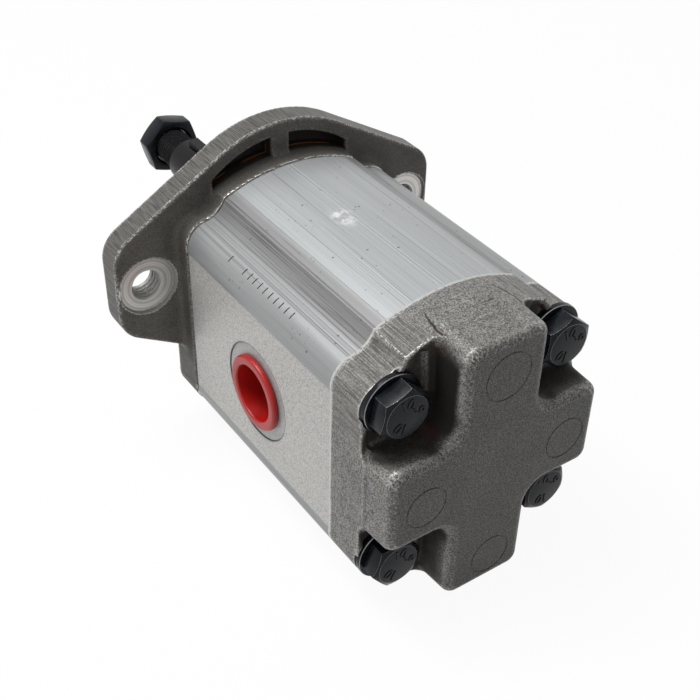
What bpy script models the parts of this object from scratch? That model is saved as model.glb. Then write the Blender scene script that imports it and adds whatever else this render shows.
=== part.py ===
"""Hydraulic fan motor: an external gear motor with a two-bolt mounting flange.

The frame has its origin where the drive shaft's axis meets the outer face of the rear cover.
+Y runs along the shaft to its tapered end, +Z from the driven gear to the drive gear, and X across
the two ports. Everything is in metres.
"""

import math

import bmesh
import bpy
from mathutils import Vector

MM = 0.001

# Clearances between pieces
JOINT_GAP = 0.3 * MM            # faces that are bolted or seated together
RUNNING_GAP = 0.25 * MM         # round pieces that turn in or on one another
BOLT_CLEARANCE = 0.3 * MM       # round a bolt's shank

# Gear pair
TEETH = 12
MODULE = 2.645 * MM
PRESSURE_ANGLE = math.radians(25)
ADDENDUM = 1.0                  # tooth height above the pitch circle, in modules
DEDENDUM = 1.25                 # tooth depth below the pitch circle, in modules
BACKLASH = 0.35 * MM
GEAR_WIDTH = 38.0 * MM
JOURNAL_RADIUS = 10.0 * MM
JOURNAL_END_GAP = 1.0 * MM      # from a journal's blind end to the cover
JOURNAL_CHAMFER = 0.5 * MM
LINER_WALL = 1.5 * MM
LINER_RECESS = 0.6 * MM         # from a liner's ends to its block's faces

# Extruded body
BODY_LENGTH = 85.8 * MM
BODY_HALF_WIDTH = 40.6 * MM
BODY_HALF_HEIGHT = 50.1 * MM
CROWN_RADIUS = 61.2 * MM        # the large arc over the top and under the bottom
CROWN_INSET = 14.6 * MM         # from the body's side to the crown's edge
LOBE_RADIUS = 8.6 * MM          # the corner lobe round each bolt
LOBE_DROP = 0.4 * MM            # the lobe's centre lies this far below the bolt's axis
LOBE_SWEEP = 75                 # degrees of arc on a lobe
VALLEY_SAG = 1.5 * MM           # the hollow between a lobe and the crown

# Bolts that hold the three castings together, and the dowels between them
BOLT_FROM_SIDE = 10.4 * MM      # from the body's side to a bolt's axis
BOLT_FROM_CROWN = 19.9 * MM     # from the body's top to a bolt's axis
BOLT_RADIUS = 5.0 * MM
BOLT_THREAD_DEPTH = 11.5 * MM   # how far a bolt reaches into the mounting flange
BOLT_HEAD_ACROSS_FLATS = 16.0 * MM
BOLT_HEAD_HEIGHT = 6.4 * MM
BOLT_TIP_ROOM = 1.0 * MM
BOLT_SPINS = (19, 9, 21, 36)     # degrees, where each tightened head came to rest
HEX_CHAMFER = math.radians(30)
HEX_FLAT_ROUND = 0.97           # the round flat on a hexagon's end, of the width across flats
HEX_TRIM = 1.02                 # the blank stands this much outside the hexagon's corners
WASHER_RADIUS = 10.1 * MM
WASHER_THICKNESS = 2.0 * MM
DOWEL_RADIUS = 3.0 * MM
DOWEL_LENGTH = 14.0 * MM

# Rear cover
COVER_DEPTH = 29.2 * MM
LIP_DEPTH = 13.9 * MM           # from the cover's outer face down to the lip round its plate
LIP_WIDTH = 2.0 * MM
LIP_HEIGHT = 1.3 * MM           # from the lip down to the floor inside it
SPOT_FACE_DEPTH = 0.3 * MM      # cut into the floor round each bolt
SPOT_FACE_MARGIN = 0.4 * MM     # round each washer
UPRIGHT_FROM_BOLT = 15.0 * MM   # from a bolt's axis to the side of an upright arm of the cross
LEVEL_FROM_BOLT = 14.4 * MM     # from a bolt's axis to the side of a level arm
TOP_INSET = 0.7 * MM            # the cross stops this far inside the body's outline
BOTTOM_INSET = 0.4 * MM
SIDE_INSET = 0.7 * MM
ARM_CORNER_RADIUS = 4.5 * MM
ARM_VALLEY_RADIUS = 7.5 * MM
RIM_RADIUS = 3.0 * MM           # rounding of the cross's outer edge
RIM_STEPS = 3
COVER_DRAFT = math.tan(math.radians(3))

# Mounting flange
COLLAR_GROWTH = 0.4 * MM        # the casting stands this much proud of the body
COLLAR_HEIGHT = 5.9 * MM        # from the body joint to the plate's rear face
PLATE_THICKNESS = 9.9 * MM
PLATE_CHAMFER = 0.5 * MM
BLOCK_SETBACK = 2.8 * MM        # from the mounting face back to the block under the plate
FLANGE_MARGIN = 5.7 * MM        # plate outside the pilot
EAR_MARGIN = 11.5 * MM          # from an ear hole's axis to the ear's end
EAR_CORNER_Z = 16.5 * MM
EAR_CORNER_RADIUS = 12.0 * MM
EAR_HOLE_X = 53.2 * MM
EAR_HOLE_RADIUS = 5.65 * MM
EAR_SPOT_RADIUS = 10.7 * MM     # spot face cut into the ear's rear
EAR_SPOT_DEPTH = 1.0 * MM
POCKET_LEDGE = 1.5 * MM         # the pocket's inner wall stands off the body's crown
POCKET_WALL = 4.7 * MM          # from the pocket out to the plate's edge
POCKET_FROM = 50.5              # degrees round the shaft from +X
POCKET_TO = 85.5
POCKET_DEPTH = 7.0 * MM
PILOT_RADIUS = 41.275 * MM
PILOT_HEIGHT = 6.3 * MM
NOSE_WALL = 7.0 * MM            # round the bearing
NOSE_CHAMFER = 1.5 * MM
NOSE_LIP = 2.0 * MM             # in front of the bearing's retaining ring
WEB_THICKNESS = 3.2 * MM        # behind the shaft seal
WEB_BORE_CLEARANCE = 0.6 * MM
SEAL_LAND = 1.4 * MM            # between the seal's retaining ring and the bearing

# Seals and retaining rings
SHAFT_SEAL_RADIUS = 17.5 * MM
SHAFT_SEAL_WIDTH = 7.0 * MM
SHAFT_SEAL_WALL = 1.7 * MM
LIP_SEAL_SLEEVE = 0.7 * MM      # the rubber sleeve stands off the lip's edge
LIP_SEAL_END = 5.6 * MM         # from the seal's back to the sleeve's end
LIP_SEAL_EDGE = 4.2 * MM        # from the seal's back to the lip's edge
RING_THICKNESS = 1.4 * MM
RING_BITE = 1.1 * MM            # how far a retaining ring's groove is cut into the bore
RING_WIDTH = 3.0 * MM
RING_LUG = 1.6 * MM
RING_OPENING = 24               # degrees between the ring's two ends
RING_LUG_SWEEP = 11             # degrees
HOUSING_SEAL_SETOUT = 3.9 * MM  # from the gear chamber's wall to the middle of its seal
HOUSING_SEAL_WIDTH = 2.0 * MM
HOUSING_SEAL_THICKNESS = 1.9 * MM
PRESSURE_SEAL_WIDTH = 2.0 * MM
PRESSURE_SEAL_THICKNESS = 1.8 * MM
PRESSURE_SEAL_FROM = 160        # degrees, the open ends of the 3-shaped seal
PRESSURE_SEAL_TO = -50          # degrees, where it turns in to the waist
PRESSURE_SEAL_WAIST = 6.5 * MM

# Outrigger ball bearing in the flange's nose
BEARING_OUTER_RADIUS = 21.0 * MM
BEARING_WIDTH = 12.0 * MM
BALL_RADIUS = 3.175 * MM
BALL_COUNT = 9
RACE_SHOULDER = 2.8 * MM        # from the ball circle to the edge of each race
CAGE_HALF_DEPTH = 1.1 * MM
CAGE_HALF_WIDTH = 1.7 * MM
SHIELD_THICKNESS = 0.5 * MM
SHIELD_INSET = 0.8 * MM
SHIELD_CLEARANCE = 0.4 * MM     # from the shield to the turning inner race

# Shaft end
TAPER_START = 37.5 * MM         # from the mounting face to the taper's large end
TAPER_LENGTH = 22.5 * MM
TAPER_RATIO = 1 / 8             # change of diameter along the taper
RELIEF_DEPTH = 1.0 * MM         # below the thread's crest
RELIEF_LENGTH = 1.8 * MM
THREAD_RADIUS = 7.0 * MM
THREAD_LENGTH = 20.1 * MM
THREAD_CHAMFER = 1.0 * MM
NUT_ACROSS_FLATS = 20.8 * MM
NUT_THICKNESS = 7.7 * MM
NUT_SETBACK = 1.6 * MM          # from the shaft's end back to the nut
NUT_SPIN = math.radians(-14)
KEY_WIDTH = 4.0 * MM
KEY_DISC_RADIUS = 8.0 * MM
KEY_HEIGHT = 6.5 * MM
KEY_PROUD = 1.8 * MM
KEY_FROM_TAPER_END = 12.5 * MM

# Ports and their plugs
PORT_DROP = 2.0 * MM            # below the body's middle
PORT_RADIUS = 11.1 * MM
PORT_DEPTH = 17.0 * MM
PORT_SPOT_RADIUS = 17.3 * MM
PORT_SPOT_DEPTH = 0.3 * MM
PORT_MOUTH_CHAMFER = 1.0 * MM
PASSAGE_RADIUS = 8.0 * MM
PASSAGE_STOP = 4.0 * MM         # from the passage's end, inside the gear chamber, to the body's middle
PLUG_FLANGE_OVERLAP = 2.2 * MM  # outside the port's bore
PLUG_FLANGE_THICKNESS = 2.0 * MM
PLUG_RIM_CHAMFER = 0.6 * MM
PLUG_WALL = 0.8 * MM
PLUG_DEPTH = 12.0 * MM
PLUG_FLOOR = 1.5 * MM

# How finely round shapes are cut into flats
FINE_SIDES = 36
ROUND_SIDES = 24
WASHER_SIDES = 20
HIDDEN_SIDES = 18
SMALL_SIDES = 12
BALL_SIDES = 8
CORNER_STEPS = 3                # along a rounded outside corner
VALLEY_STEPS = 4                # along a rounded inside corner
FLANK_STEPS = 3                 # along an involute tooth flank
FLANGE_ARC_STEPS = 12           # over the top or under the bottom of the flange plate

# Places across the shaft that follow from the sizes above
PITCH_RADIUS = MODULE * TEETH / 2
CENTRE_DISTANCE = 2 * PITCH_RADIUS
BODY_MIDDLE = -PITCH_RADIUS
TIP_RADIUS = PITCH_RADIUS + ADDENDUM * MODULE
ROOT_RADIUS = PITCH_RADIUS - DEDENDUM * MODULE
CHAMBER_RADIUS = TIP_RADIUS + RUNNING_GAP
LINER_OUTER_RADIUS = JOURNAL_RADIUS + RUNNING_GAP + LINER_WALL
LINER_BORE_RADIUS = LINER_OUTER_RADIUS + JOINT_GAP
HOUSING_SEAL_RADIUS = CHAMBER_RADIUS + HOUSING_SEAL_SETOUT
PRESSURE_SEAL_RADIUS = (LINER_BORE_RADIUS + CHAMBER_RADIUS) / 2
BOLT_X = BODY_HALF_WIDTH - BOLT_FROM_SIDE
BOLT_Z = BODY_HALF_HEIGHT - BOLT_FROM_CROWN
SPOT_FACE_RADIUS = WASHER_RADIUS + SPOT_FACE_MARGIN
DOWEL_X = (BODY_HALF_WIDTH + HOUSING_SEAL_RADIUS + HOUSING_SEAL_WIDTH / 2) / 2
FLANGE_ARC_RADIUS = PILOT_RADIUS + FLANGE_MARGIN
EAR_REACH = EAR_HOLE_X + EAR_MARGIN
BALL_CIRCLE = (JOURNAL_RADIUS + BEARING_OUTER_RADIUS) / 2
SMALL_TAPER_RADIUS = JOURNAL_RADIUS - TAPER_LENGTH * TAPER_RATIO / 2

# Places along the shaft that follow from the sizes above
BOLT_SEAT = LIP_DEPTH + LIP_HEIGHT + SPOT_FACE_DEPTH
BODY_REAR = COVER_DEPTH + JOINT_GAP
BODY_FRONT = BODY_REAR + BODY_LENGTH
FLANGE_REAR = BODY_FRONT + JOINT_GAP
PLATE_REAR = FLANGE_REAR + COLLAR_HEIGHT
MOUNTING_FACE = PLATE_REAR + PLATE_THICKNESS
BLOCK_THICKNESS = (BODY_LENGTH - GEAR_WIDTH) / 2 - JOINT_GAP
GEAR_REAR = BODY_REAR + BLOCK_THICKNESS + JOINT_GAP
SEAL_SEAT = FLANGE_REAR + WEB_THICKNESS
SHAFT_SEAL_REAR = SEAL_SEAT + JOINT_GAP
SEAL_RING_REAR = SHAFT_SEAL_REAR + SHAFT_SEAL_WIDTH + JOINT_GAP
BEARING_SEAT = SEAL_RING_REAR + RING_THICKNESS + JOINT_GAP + SEAL_LAND
BEARING_REAR = BEARING_SEAT + JOINT_GAP
BEARING_RING_REAR = BEARING_REAR + BEARING_WIDTH + JOINT_GAP
NOSE_END = BEARING_RING_REAR + RING_THICKNESS + JOINT_GAP + NOSE_LIP
TAPER_REAR = MOUNTING_FACE + TAPER_START
TAPER_FRONT = TAPER_REAR + TAPER_LENGTH
THREAD_REAR = TAPER_FRONT + RELIEF_LENGTH
SHAFT_END = THREAD_REAR + THREAD_LENGTH
NUT_REAR = SHAFT_END - NUT_SETBACK - NUT_THICKNESS
PORT_Y = BODY_REAR + BODY_LENGTH / 2


def clear_scene():
    """Remove whatever objects the scene starts with."""
    for obj in list(bpy.data.objects):
        bpy.data.objects.remove(obj, do_unlink=True)


def material(name, colour, roughness, metallic):
    """Make a Principled material of one colour."""
    made = bpy.data.materials.new(name)
    made.use_nodes = True
    shader = made.node_tree.nodes["Principled BSDF"]
    shader.inputs["Base Color"].default_value = (*colour, 1)
    shader.inputs["Roughness"].default_value = roughness
    shader.inputs["Metallic"].default_value = metallic
    made.diffuse_color = (*colour, 1)
    return made


def place(name, bm, made_of, location=(0, 0, 0), parent=None):
    """Turn a bmesh into a named object with its faces pointing outwards."""
    bmesh.ops.recalc_face_normals(bm, faces=bm.faces)
    mesh = bpy.data.meshes.new(name)
    bm.to_mesh(mesh)
    bm.free()
    mesh.shade_smooth()
    mesh.set_sharp_from_angle(angle=math.radians(35))
    mesh.materials.append(made_of)
    obj = bpy.data.objects.new(name, mesh)
    bpy.context.collection.objects.link(obj)
    obj.location = location
    obj.parent = parent
    return obj


def axis_empty(name, location):
    """Make the empty that carries everything turning about one axis."""
    empty = bpy.data.objects.new(name, None)
    empty.empty_display_size = 20 * MM
    empty.location = location
    bpy.context.collection.objects.link(empty)
    return empty


def tool(name, bm, location=(0, 0, 0), turn=0.0):
    """Make a hidden shape that is only added to, or cut from, other objects."""
    obj = place("tool_" + name, bm, TOOL_MATERIAL, location)
    obj.rotation_euler.z = turn
    obj.hide_render = True
    obj.display_type = "WIRE"
    return obj


def combine(target, operation, *shapes):
    """Add a Boolean modifier to the target for each hidden shape."""
    for shape in shapes:
        modifier = target.modifiers.new(shape.name, "BOOLEAN")
        modifier.operation = operation
        modifier.solver = "EXACT"
        modifier.object = shape


def finished_mesh(obj):
    """Return the object's mesh with its modifiers applied."""
    bpy.context.view_layer.update()
    evaluated = obj.evaluated_get(bpy.context.evaluated_depsgraph_get())
    return bpy.data.meshes.new_from_object(evaluated)


def arc(x, z, radius, start, end, steps):
    """Points on an arc about (x, z), angles in degrees from +X towards +Z."""
    angles = [math.radians(start + (end - start) * i / steps) for i in range(steps + 1)]
    return [(x + radius * math.cos(a), z + radius * math.sin(a)) for a in angles]


def circle(radius, sides, x=0.0, z=0.0):
    """Closed outline of a round piece."""
    return arc(x, z, radius, 0, 360 * (1 - 1 / sides), sides - 1)


def bowed(start, end, sag, steps):
    """Points on the arc from start to end that bows to the left of its chord by sag."""
    start, end = Vector(start), Vector(end)
    along = (end - start).normalized()
    left = Vector((-along.y, along.x))
    half = (end - start).length / 2
    radius = (half ** 2 + sag ** 2) / (2 * sag)
    centre = (start + end) / 2 - left * (radius - sag)
    spread = math.asin(half / radius)
    angles = [spread * (2 * i / steps - 1) for i in range(steps + 1)]
    return [tuple(centre + radius * (left * math.cos(a) + along * math.sin(a))) for a in angles]


def rounded(corners):
    """Polygon with its corners (x, z, radius, steps) rounded by arcs."""
    outline = []
    for i, (x, z, radius, steps) in enumerate(corners):
        here = Vector((x, z))
        back = (Vector(corners[i - 1][:2]) - here).normalized()
        ahead = (Vector(corners[(i + 1) % len(corners)][:2]) - here).normalized()
        half = back.angle(ahead) / 2
        centre = here + (back + ahead).normalized() * radius / math.sin(half)
        first = here + back * radius / math.tan(half) - centre
        last = here + ahead * radius / math.tan(half) - centre
        start = math.atan2(first.y, first.x)
        sweep = (math.atan2(last.y, last.x) - start + math.pi) % (2 * math.pi) - math.pi
        outline += arc(centre.x, centre.y, radius, math.degrees(start), math.degrees(start + sweep), steps)
    return outline


def ribbon(centreline, width):
    """Outline of a strip of constant width along a line of points."""
    points = [Vector(p) for p in centreline]
    left, right = [], []
    for i, point in enumerate(points):
        before = (point - points[max(i - 1, 0)]).normalized()
        after = (points[min(i + 1, len(points) - 1)] - point).normalized()
        along = (before + after).normalized()
        mitre = 1 / max(along.dot(after if i == 0 else before), 0.5)
        side = Vector((-along.y, along.x)) * width / 2 * mitre
        left.append(tuple(point + side))
        right.append(tuple(point - side))
    return left + right[::-1]


def prism(outline, depth, y=0.0):
    """Outline in XZ extruded along +Y from y."""
    bm = bmesh.new()
    face = bm.faces.new([bm.verts.new((px, y, pz)) for px, pz in outline])
    swept = bmesh.ops.extrude_face_region(bm, geom=[face])["geom"]
    bmesh.ops.translate(bm, vec=(0, depth, 0), verts=[v for v in swept if isinstance(v, bmesh.types.BMVert)])
    return bm


def ring_prism(outer, inner, depth, y=0.0):
    """Two outlines, one inside the other, extruded along +Y from y as a closed ring."""
    bm = bmesh.new()
    edges = []
    for outline in (outer, inner):
        verts = [bm.verts.new((px, y, pz)) for px, pz in outline]
        edges += [bm.edges.new((a, b)) for a, b in zip(verts, verts[1:] + verts[:1])]
    faces = bmesh.ops.bridge_loops(bm, edges=edges)["faces"]
    swept = bmesh.ops.extrude_face_region(bm, geom=faces)["geom"]
    bmesh.ops.translate(bm, vec=(0, depth, 0), verts=[v for v in swept if isinstance(v, bmesh.types.BMVert)])
    return bm


def loft(sections):
    """Skin over outlines of equal point counts, given as (outline, y), with flat ends."""
    bm = bmesh.new()
    loops = [[bm.verts.new((px, y, pz)) for px, pz in outline] for outline, y in sections]
    for lower, upper in zip(loops, loops[1:]):
        for i in range(len(lower)):
            bm.faces.new((lower[i - 1], lower[i], upper[i], upper[i - 1]))
    bm.faces.new(loops[0])
    bm.faces.new(loops[-1][::-1])
    return bm


def turned(profile, sides, closed=False):
    """Profile of (radius, y) turned about the Y axis; an open one starts and ends on the axis."""
    bm = bmesh.new()
    verts = [bm.verts.new((r, y, 0)) for r, y in profile]
    pairs = list(zip(verts, verts[1:])) + ([(verts[-1], verts[0])] if closed else [])
    edges = [bm.edges.new(pair) for pair in pairs]
    bmesh.ops.spin(bm, geom=verts + edges, axis=(0, 1, 0), cent=(0, 0, 0), angle=2 * math.pi,
                   steps=sides, use_merge=True, use_duplicate=False)
    bmesh.ops.remove_doubles(bm, verts=bm.verts, dist=0.001 * MM)
    return bm


def bore_radius(radius, sides):
    """Radius whose flats lie on the given radius, for a bore cut with flat sides."""
    return radius / math.cos(math.pi / sides)


def cluster(shapes):
    """Join several closed shapes, given as (bmesh, offset), into one bmesh."""
    joined = bmesh.new()
    for shape, offset in shapes:
        bmesh.ops.translate(shape, vec=offset, verts=shape.verts)
        mesh = bpy.data.meshes.new("shape")
        shape.to_mesh(mesh)
        shape.free()
        joined.from_mesh(mesh)
        bpy.data.meshes.remove(mesh)
    return joined


def drilled(radius, depth, y, spots, sides=SMALL_SIDES):
    """Cylinders of one radius along +Y from y, one at each (x, z) spot."""
    outline = circle(bore_radius(radius, sides), sides)
    return cluster([(prism(outline, depth, y), (x, 0, z)) for x, z in spots])


def body_outline(grow=0.0):
    """Outline of the extruded body about its own middle, set off outwards by grow."""
    lobe = arc(BODY_HALF_WIDTH - LOBE_RADIUS, BOLT_Z - LOBE_DROP, LOBE_RADIUS + grow, 0, LOBE_SWEEP, 5)
    crown_radius = CROWN_RADIUS + grow
    edge = math.degrees(math.asin((BODY_HALF_WIDTH - CROWN_INSET) / crown_radius))
    crown = arc(0, BODY_HALF_HEIGHT - CROWN_RADIUS, crown_radius, 90 - edge, 90, 6)
    valley = bowed(lobe[-1], crown[0], VALLEY_SAG, 4)[1:-1]
    quarter = lobe + valley + crown
    top = quarter + [(-x, z) for x, z in quarter[-2::-1]]
    return top + [(-x, -z) for x, z in top]


def twin_outline(radius, steps=16):
    """Figure-eight outline of two overlapping circles on the gear axes, about the body's middle."""
    dip = math.degrees(math.asin(PITCH_RADIUS / radius))
    upper = arc(0, PITCH_RADIUS, radius, -dip, 180 + dip, steps)
    lower = [(-x, -z) for x, z in upper]
    return upper[:-1] + lower[:-1]


def track_outline(radius, steps=10):
    """Racetrack outline round both gear axes, about the body's middle."""
    upper = arc(0, PITCH_RADIUS, radius, 0, 180, steps)
    return upper + [(-x, -z) for x, z in upper]


def cross_outline(grow):
    """Outline of the cross on the rear cover about the body's middle, set off outwards by grow."""
    x = BOLT_X - UPRIGHT_FROM_BOLT + grow
    z = BOLT_Z - LEVEL_FROM_BOLT + grow
    side = BODY_HALF_WIDTH - SIDE_INSET + grow
    top = BODY_HALF_HEIGHT - TOP_INSET + grow
    bottom = BOTTOM_INSET - BODY_HALF_HEIGHT - grow
    outer, inner = ARM_CORNER_RADIUS + grow, ARM_VALLEY_RADIUS - grow
    corner, valley = (outer, CORNER_STEPS), (inner, VALLEY_STEPS)
    return rounded([(side, -z, *corner), (side, z, *corner), (x, z, *valley), (x, top, *corner),
                    (-x, top, *corner), (-x, z, *valley), (-side, z, *corner), (-side, -z, *corner),
                    (-x, -z, *valley), (-x, bottom, *corner), (x, bottom, *corner), (x, -z, *valley)])


def flange_outline(grow=0.0):
    """Rhombus of the mounting plate about the drive axis, set off outwards by grow."""
    reach = math.hypot(EAR_REACH, EAR_CORNER_Z)
    slope = math.atan2(EAR_CORNER_Z, EAR_REACH) + math.acos(FLANGE_ARC_RADIUS / reach)
    arc_radius = FLANGE_ARC_RADIUS + grow
    corner, crown = (EAR_CORNER_RADIUS + grow, CORNER_STEPS), (arc_radius, FLANGE_ARC_STEPS)
    x = EAR_REACH + grow
    z = (arc_radius - x * math.cos(slope)) / math.sin(slope)
    peak = arc_radius / math.sin(slope)
    return rounded([(x, -z, *corner), (x, z, *corner), (0, peak, *crown),
                    (-x, z, *corner), (-x, -z, *corner), (0, -peak, *crown)])


def pocket_outline(side):
    """Outline of a pocket in the plate's rear face about the drive axis, on one side of its rib."""
    crown_radius = CROWN_RADIUS + POCKET_LEDGE
    crown_middle = BODY_HALF_HEIGHT - CROWN_RADIUS + BODY_MIDDLE
    outer = arc(0, 0, FLANGE_ARC_RADIUS - POCKET_WALL, POCKET_FROM, POCKET_TO, 7)
    ends = [math.degrees(math.acos(x / crown_radius)) for x in (outer[-1][0], outer[0][0])]
    inner = arc(0, crown_middle, crown_radius, ends[0], ends[1], 7)
    return [(side * x, z) for x, z in outer + inner]


def gear_outline(phase):
    """Outline of an involute gear, with a tooth centred at the phase angle."""
    base_radius = PITCH_RADIUS * math.cos(PRESSURE_ANGLE)
    half_tooth = (math.pi * MODULE / 2 - BACKLASH) / (2 * PITCH_RADIUS)
    half_tooth += math.tan(PRESSURE_ANGLE) - PRESSURE_ANGLE
    flank = [(ROOT_RADIUS, half_tooth)]
    for i in range(FLANK_STEPS + 1):
        radius = base_radius + (TIP_RADIUS - base_radius) * i / FLANK_STEPS
        angle = math.acos(base_radius / radius)
        flank.append((radius, half_tooth - (math.tan(angle) - angle)))
    outline = []
    for tooth in range(TEETH):
        middle = phase + 2 * math.pi * tooth / TEETH
        sides = [(r, middle - a) for r, a in flank] + [(r, middle + a) for r, a in flank[::-1]]
        outline += [(r * math.cos(a), r * math.sin(a)) for r, a in sides]
    return outline


def hexagon(across_flats, spin=0.0):
    """Hexagon outline, turned by spin radians."""
    corner = across_flats / 2 / math.cos(math.pi / 6)
    angles = [spin + math.pi / 3 * i for i in range(6)]
    return [(corner * math.cos(a), corner * math.sin(a)) for a in angles]


def chamfered_bar(across_flats, height, both_ends):
    """Turned blank that a hexagon is trimmed with, so its corners get their curved chamfers."""
    corner = across_flats / 2 / math.cos(math.pi / 6)
    flat = across_flats / 2 * HEX_FLAT_ROUND
    outer = corner * HEX_TRIM
    drop = (corner - flat) * math.tan(HEX_CHAMFER)
    profile = [(0, 0), (flat, 0), (outer, drop), (outer, height - drop), (flat, height)]
    if not both_ends:
        profile[-2:] = [(outer, height)]
    return turned(profile + [(0, height)], ROUND_SIDES)


def retaining_ring(bore):
    """Open spring ring, with lugs at its ends, that sits in a groove round a bore."""
    outer = bore + RING_BITE - JOINT_GAP
    inner, lug = outer - RING_WIDTH, outer - RING_WIDTH - RING_LUG
    start = 90 + RING_OPENING / 2
    end = start + 360 - RING_OPENING
    outline = arc(0, 0, outer, start, end, HIDDEN_SIDES)
    outline += arc(0, 0, lug, end, end - RING_LUG_SWEEP, CORNER_STEPS)
    outline += arc(0, 0, inner, end - RING_LUG_SWEEP, start + RING_LUG_SWEEP, HIDDEN_SIDES)
    outline += arc(0, 0, lug, start + RING_LUG_SWEEP, start, CORNER_STEPS)
    return prism(outline, RING_THICKNESS)


def bolt_spots():
    """The four bolt centres about the body's middle."""
    return [(x, z) for x in (-BOLT_X, BOLT_X) for z in (BOLT_Z, -BOLT_Z)]


def dowel_spots():
    """The two dowel centres about the body's middle."""
    return [(-DOWEL_X, 0), (DOWEL_X, 0)]


def housing_seal_outlines(spare):
    """Outer and inner outline of the seal round the gear chamber, or of its groove."""
    half = HOUSING_SEAL_WIDTH / 2 + spare
    return track_outline(HOUSING_SEAL_RADIUS + half), track_outline(HOUSING_SEAL_RADIUS - half)


def pressure_seal_outline(spare):
    """Outline of the 3-shaped seal on a bearing block, or of its groove."""
    upper = arc(0, PITCH_RADIUS, PRESSURE_SEAL_RADIUS, PRESSURE_SEAL_FROM, PRESSURE_SEAL_TO, 8)
    lower = [(x, -z) for x, z in reversed(upper)]
    return ribbon(upper + [(PRESSURE_SEAL_WAIST, 0)] + lower, PRESSURE_SEAL_WIDTH + 2 * spare)


def make_rear_cover(cast):
    """Cast rear cover: a plate of the body's outline that carries a cross-shaped boss."""
    middle = (0, 0, BODY_MIDDLE)
    cover = place("rear_cover", prism(body_outline(), COVER_DEPTH - LIP_DEPTH, LIP_DEPTH), cast, middle)
    floor = prism(body_outline(-LIP_WIDTH), LIP_HEIGHT + JOINT_GAP, LIP_DEPTH - JOINT_GAP)
    combine(cover, "DIFFERENCE", tool("lip_floor", floor, middle))
    sections = []
    for i in range(RIM_STEPS + 1):
        angle = math.pi / 2 * i / RIM_STEPS
        grow = -RIM_RADIUS * (1 - math.sin(angle))
        sections.append((cross_outline(grow), RIM_RADIUS * (1 - math.cos(angle))))
    foot = LIP_DEPTH + LIP_HEIGHT
    sections.append((cross_outline(COVER_DRAFT * (foot - RIM_RADIUS)), foot))
    sections.append((cross_outline(-JOINT_GAP), (foot + COVER_DEPTH) / 2))
    combine(cover, "UNION", tool("cross", loft(sections), middle))
    outer, inner = housing_seal_outlines(JOINT_GAP)
    groove_depth = HOUSING_SEAL_THICKNESS + JOINT_GAP
    bolt_hole = drilled(BOLT_RADIUS + BOLT_CLEARANCE, COVER_DEPTH, LIP_DEPTH, bolt_spots())
    spot_faces = drilled(SPOT_FACE_RADIUS, BOLT_SEAT - LIP_DEPTH + JOINT_GAP, LIP_DEPTH - JOINT_GAP,
                         bolt_spots(), ROUND_SIDES)
    dowel_hole = drilled(DOWEL_RADIUS + JOINT_GAP, DOWEL_LENGTH, COVER_DEPTH - dowel_reach(), dowel_spots())
    combine(cover, "DIFFERENCE",
            tool("spot_faces", spot_faces, middle),
            tool("cover_bolt_holes", bolt_hole, middle),
            tool("cover_dowel_holes", dowel_hole, middle),
            tool("cover_groove", ring_prism(outer, inner, groove_depth + JOINT_GAP,
                                            COVER_DEPTH - groove_depth), middle))
    return cover


def dowel_reach():
    """How deep a dowel's hole goes into each of the two pieces that the dowel lines up."""
    return DOWEL_LENGTH / 2 + JOINT_GAP


def make_gear_housing(extruded):
    """Extruded body with the gear chamber, bolt holes, dowel holes and two ports."""
    middle = (0, 0, BODY_MIDDLE)
    body = place("gear_housing", prism(body_outline(), BODY_LENGTH, BODY_REAR), extruded, middle)
    over = BODY_LENGTH + 2 * JOINT_GAP
    start = BODY_REAR - JOINT_GAP
    dowel_holes = []
    for y in (BODY_REAR - JOINT_GAP, BODY_FRONT - dowel_reach()):
        depth = dowel_reach() + JOINT_GAP
        dowel_holes.append((drilled(DOWEL_RADIUS + JOINT_GAP, depth, y, dowel_spots()), (0, 0, 0)))
    combine(body, "DIFFERENCE",
            tool("gear_chamber", prism(twin_outline(CHAMBER_RADIUS), over, start), middle),
            tool("body_bolt_holes", drilled(BOLT_RADIUS + BOLT_CLEARANCE, over, start, bolt_spots()), middle),
            tool("body_dowel_holes", cluster(dowel_holes), middle))
    thread = bore_radius(PORT_RADIUS, ROUND_SIDES)
    mouth = thread + PORT_MOUTH_CHAMFER
    passage = bore_radius(PASSAGE_RADIUS, ROUND_SIDES)
    end = -BODY_HALF_WIDTH + PASSAGE_STOP
    profile = [(0, end), (passage, end),
               (passage, -PORT_DEPTH), (thread, -PORT_DEPTH), (thread, -PORT_SPOT_DEPTH - PORT_MOUTH_CHAMFER),
               (mouth, -PORT_SPOT_DEPTH), (PORT_SPOT_RADIUS, -PORT_SPOT_DEPTH),
               (PORT_SPOT_RADIUS, JOINT_GAP), (0, JOINT_GAP)]
    for side, place_x in (("left", -BODY_HALF_WIDTH), ("right", BODY_HALF_WIDTH)):
        centre = (place_x, PORT_Y, BODY_MIDDLE - PORT_DROP)
        turn = math.copysign(math.pi / 2, -place_x)
        combine(body, "DIFFERENCE", tool("port_" + side, turned(profile, ROUND_SIDES), centre, turn))
    return body


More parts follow.
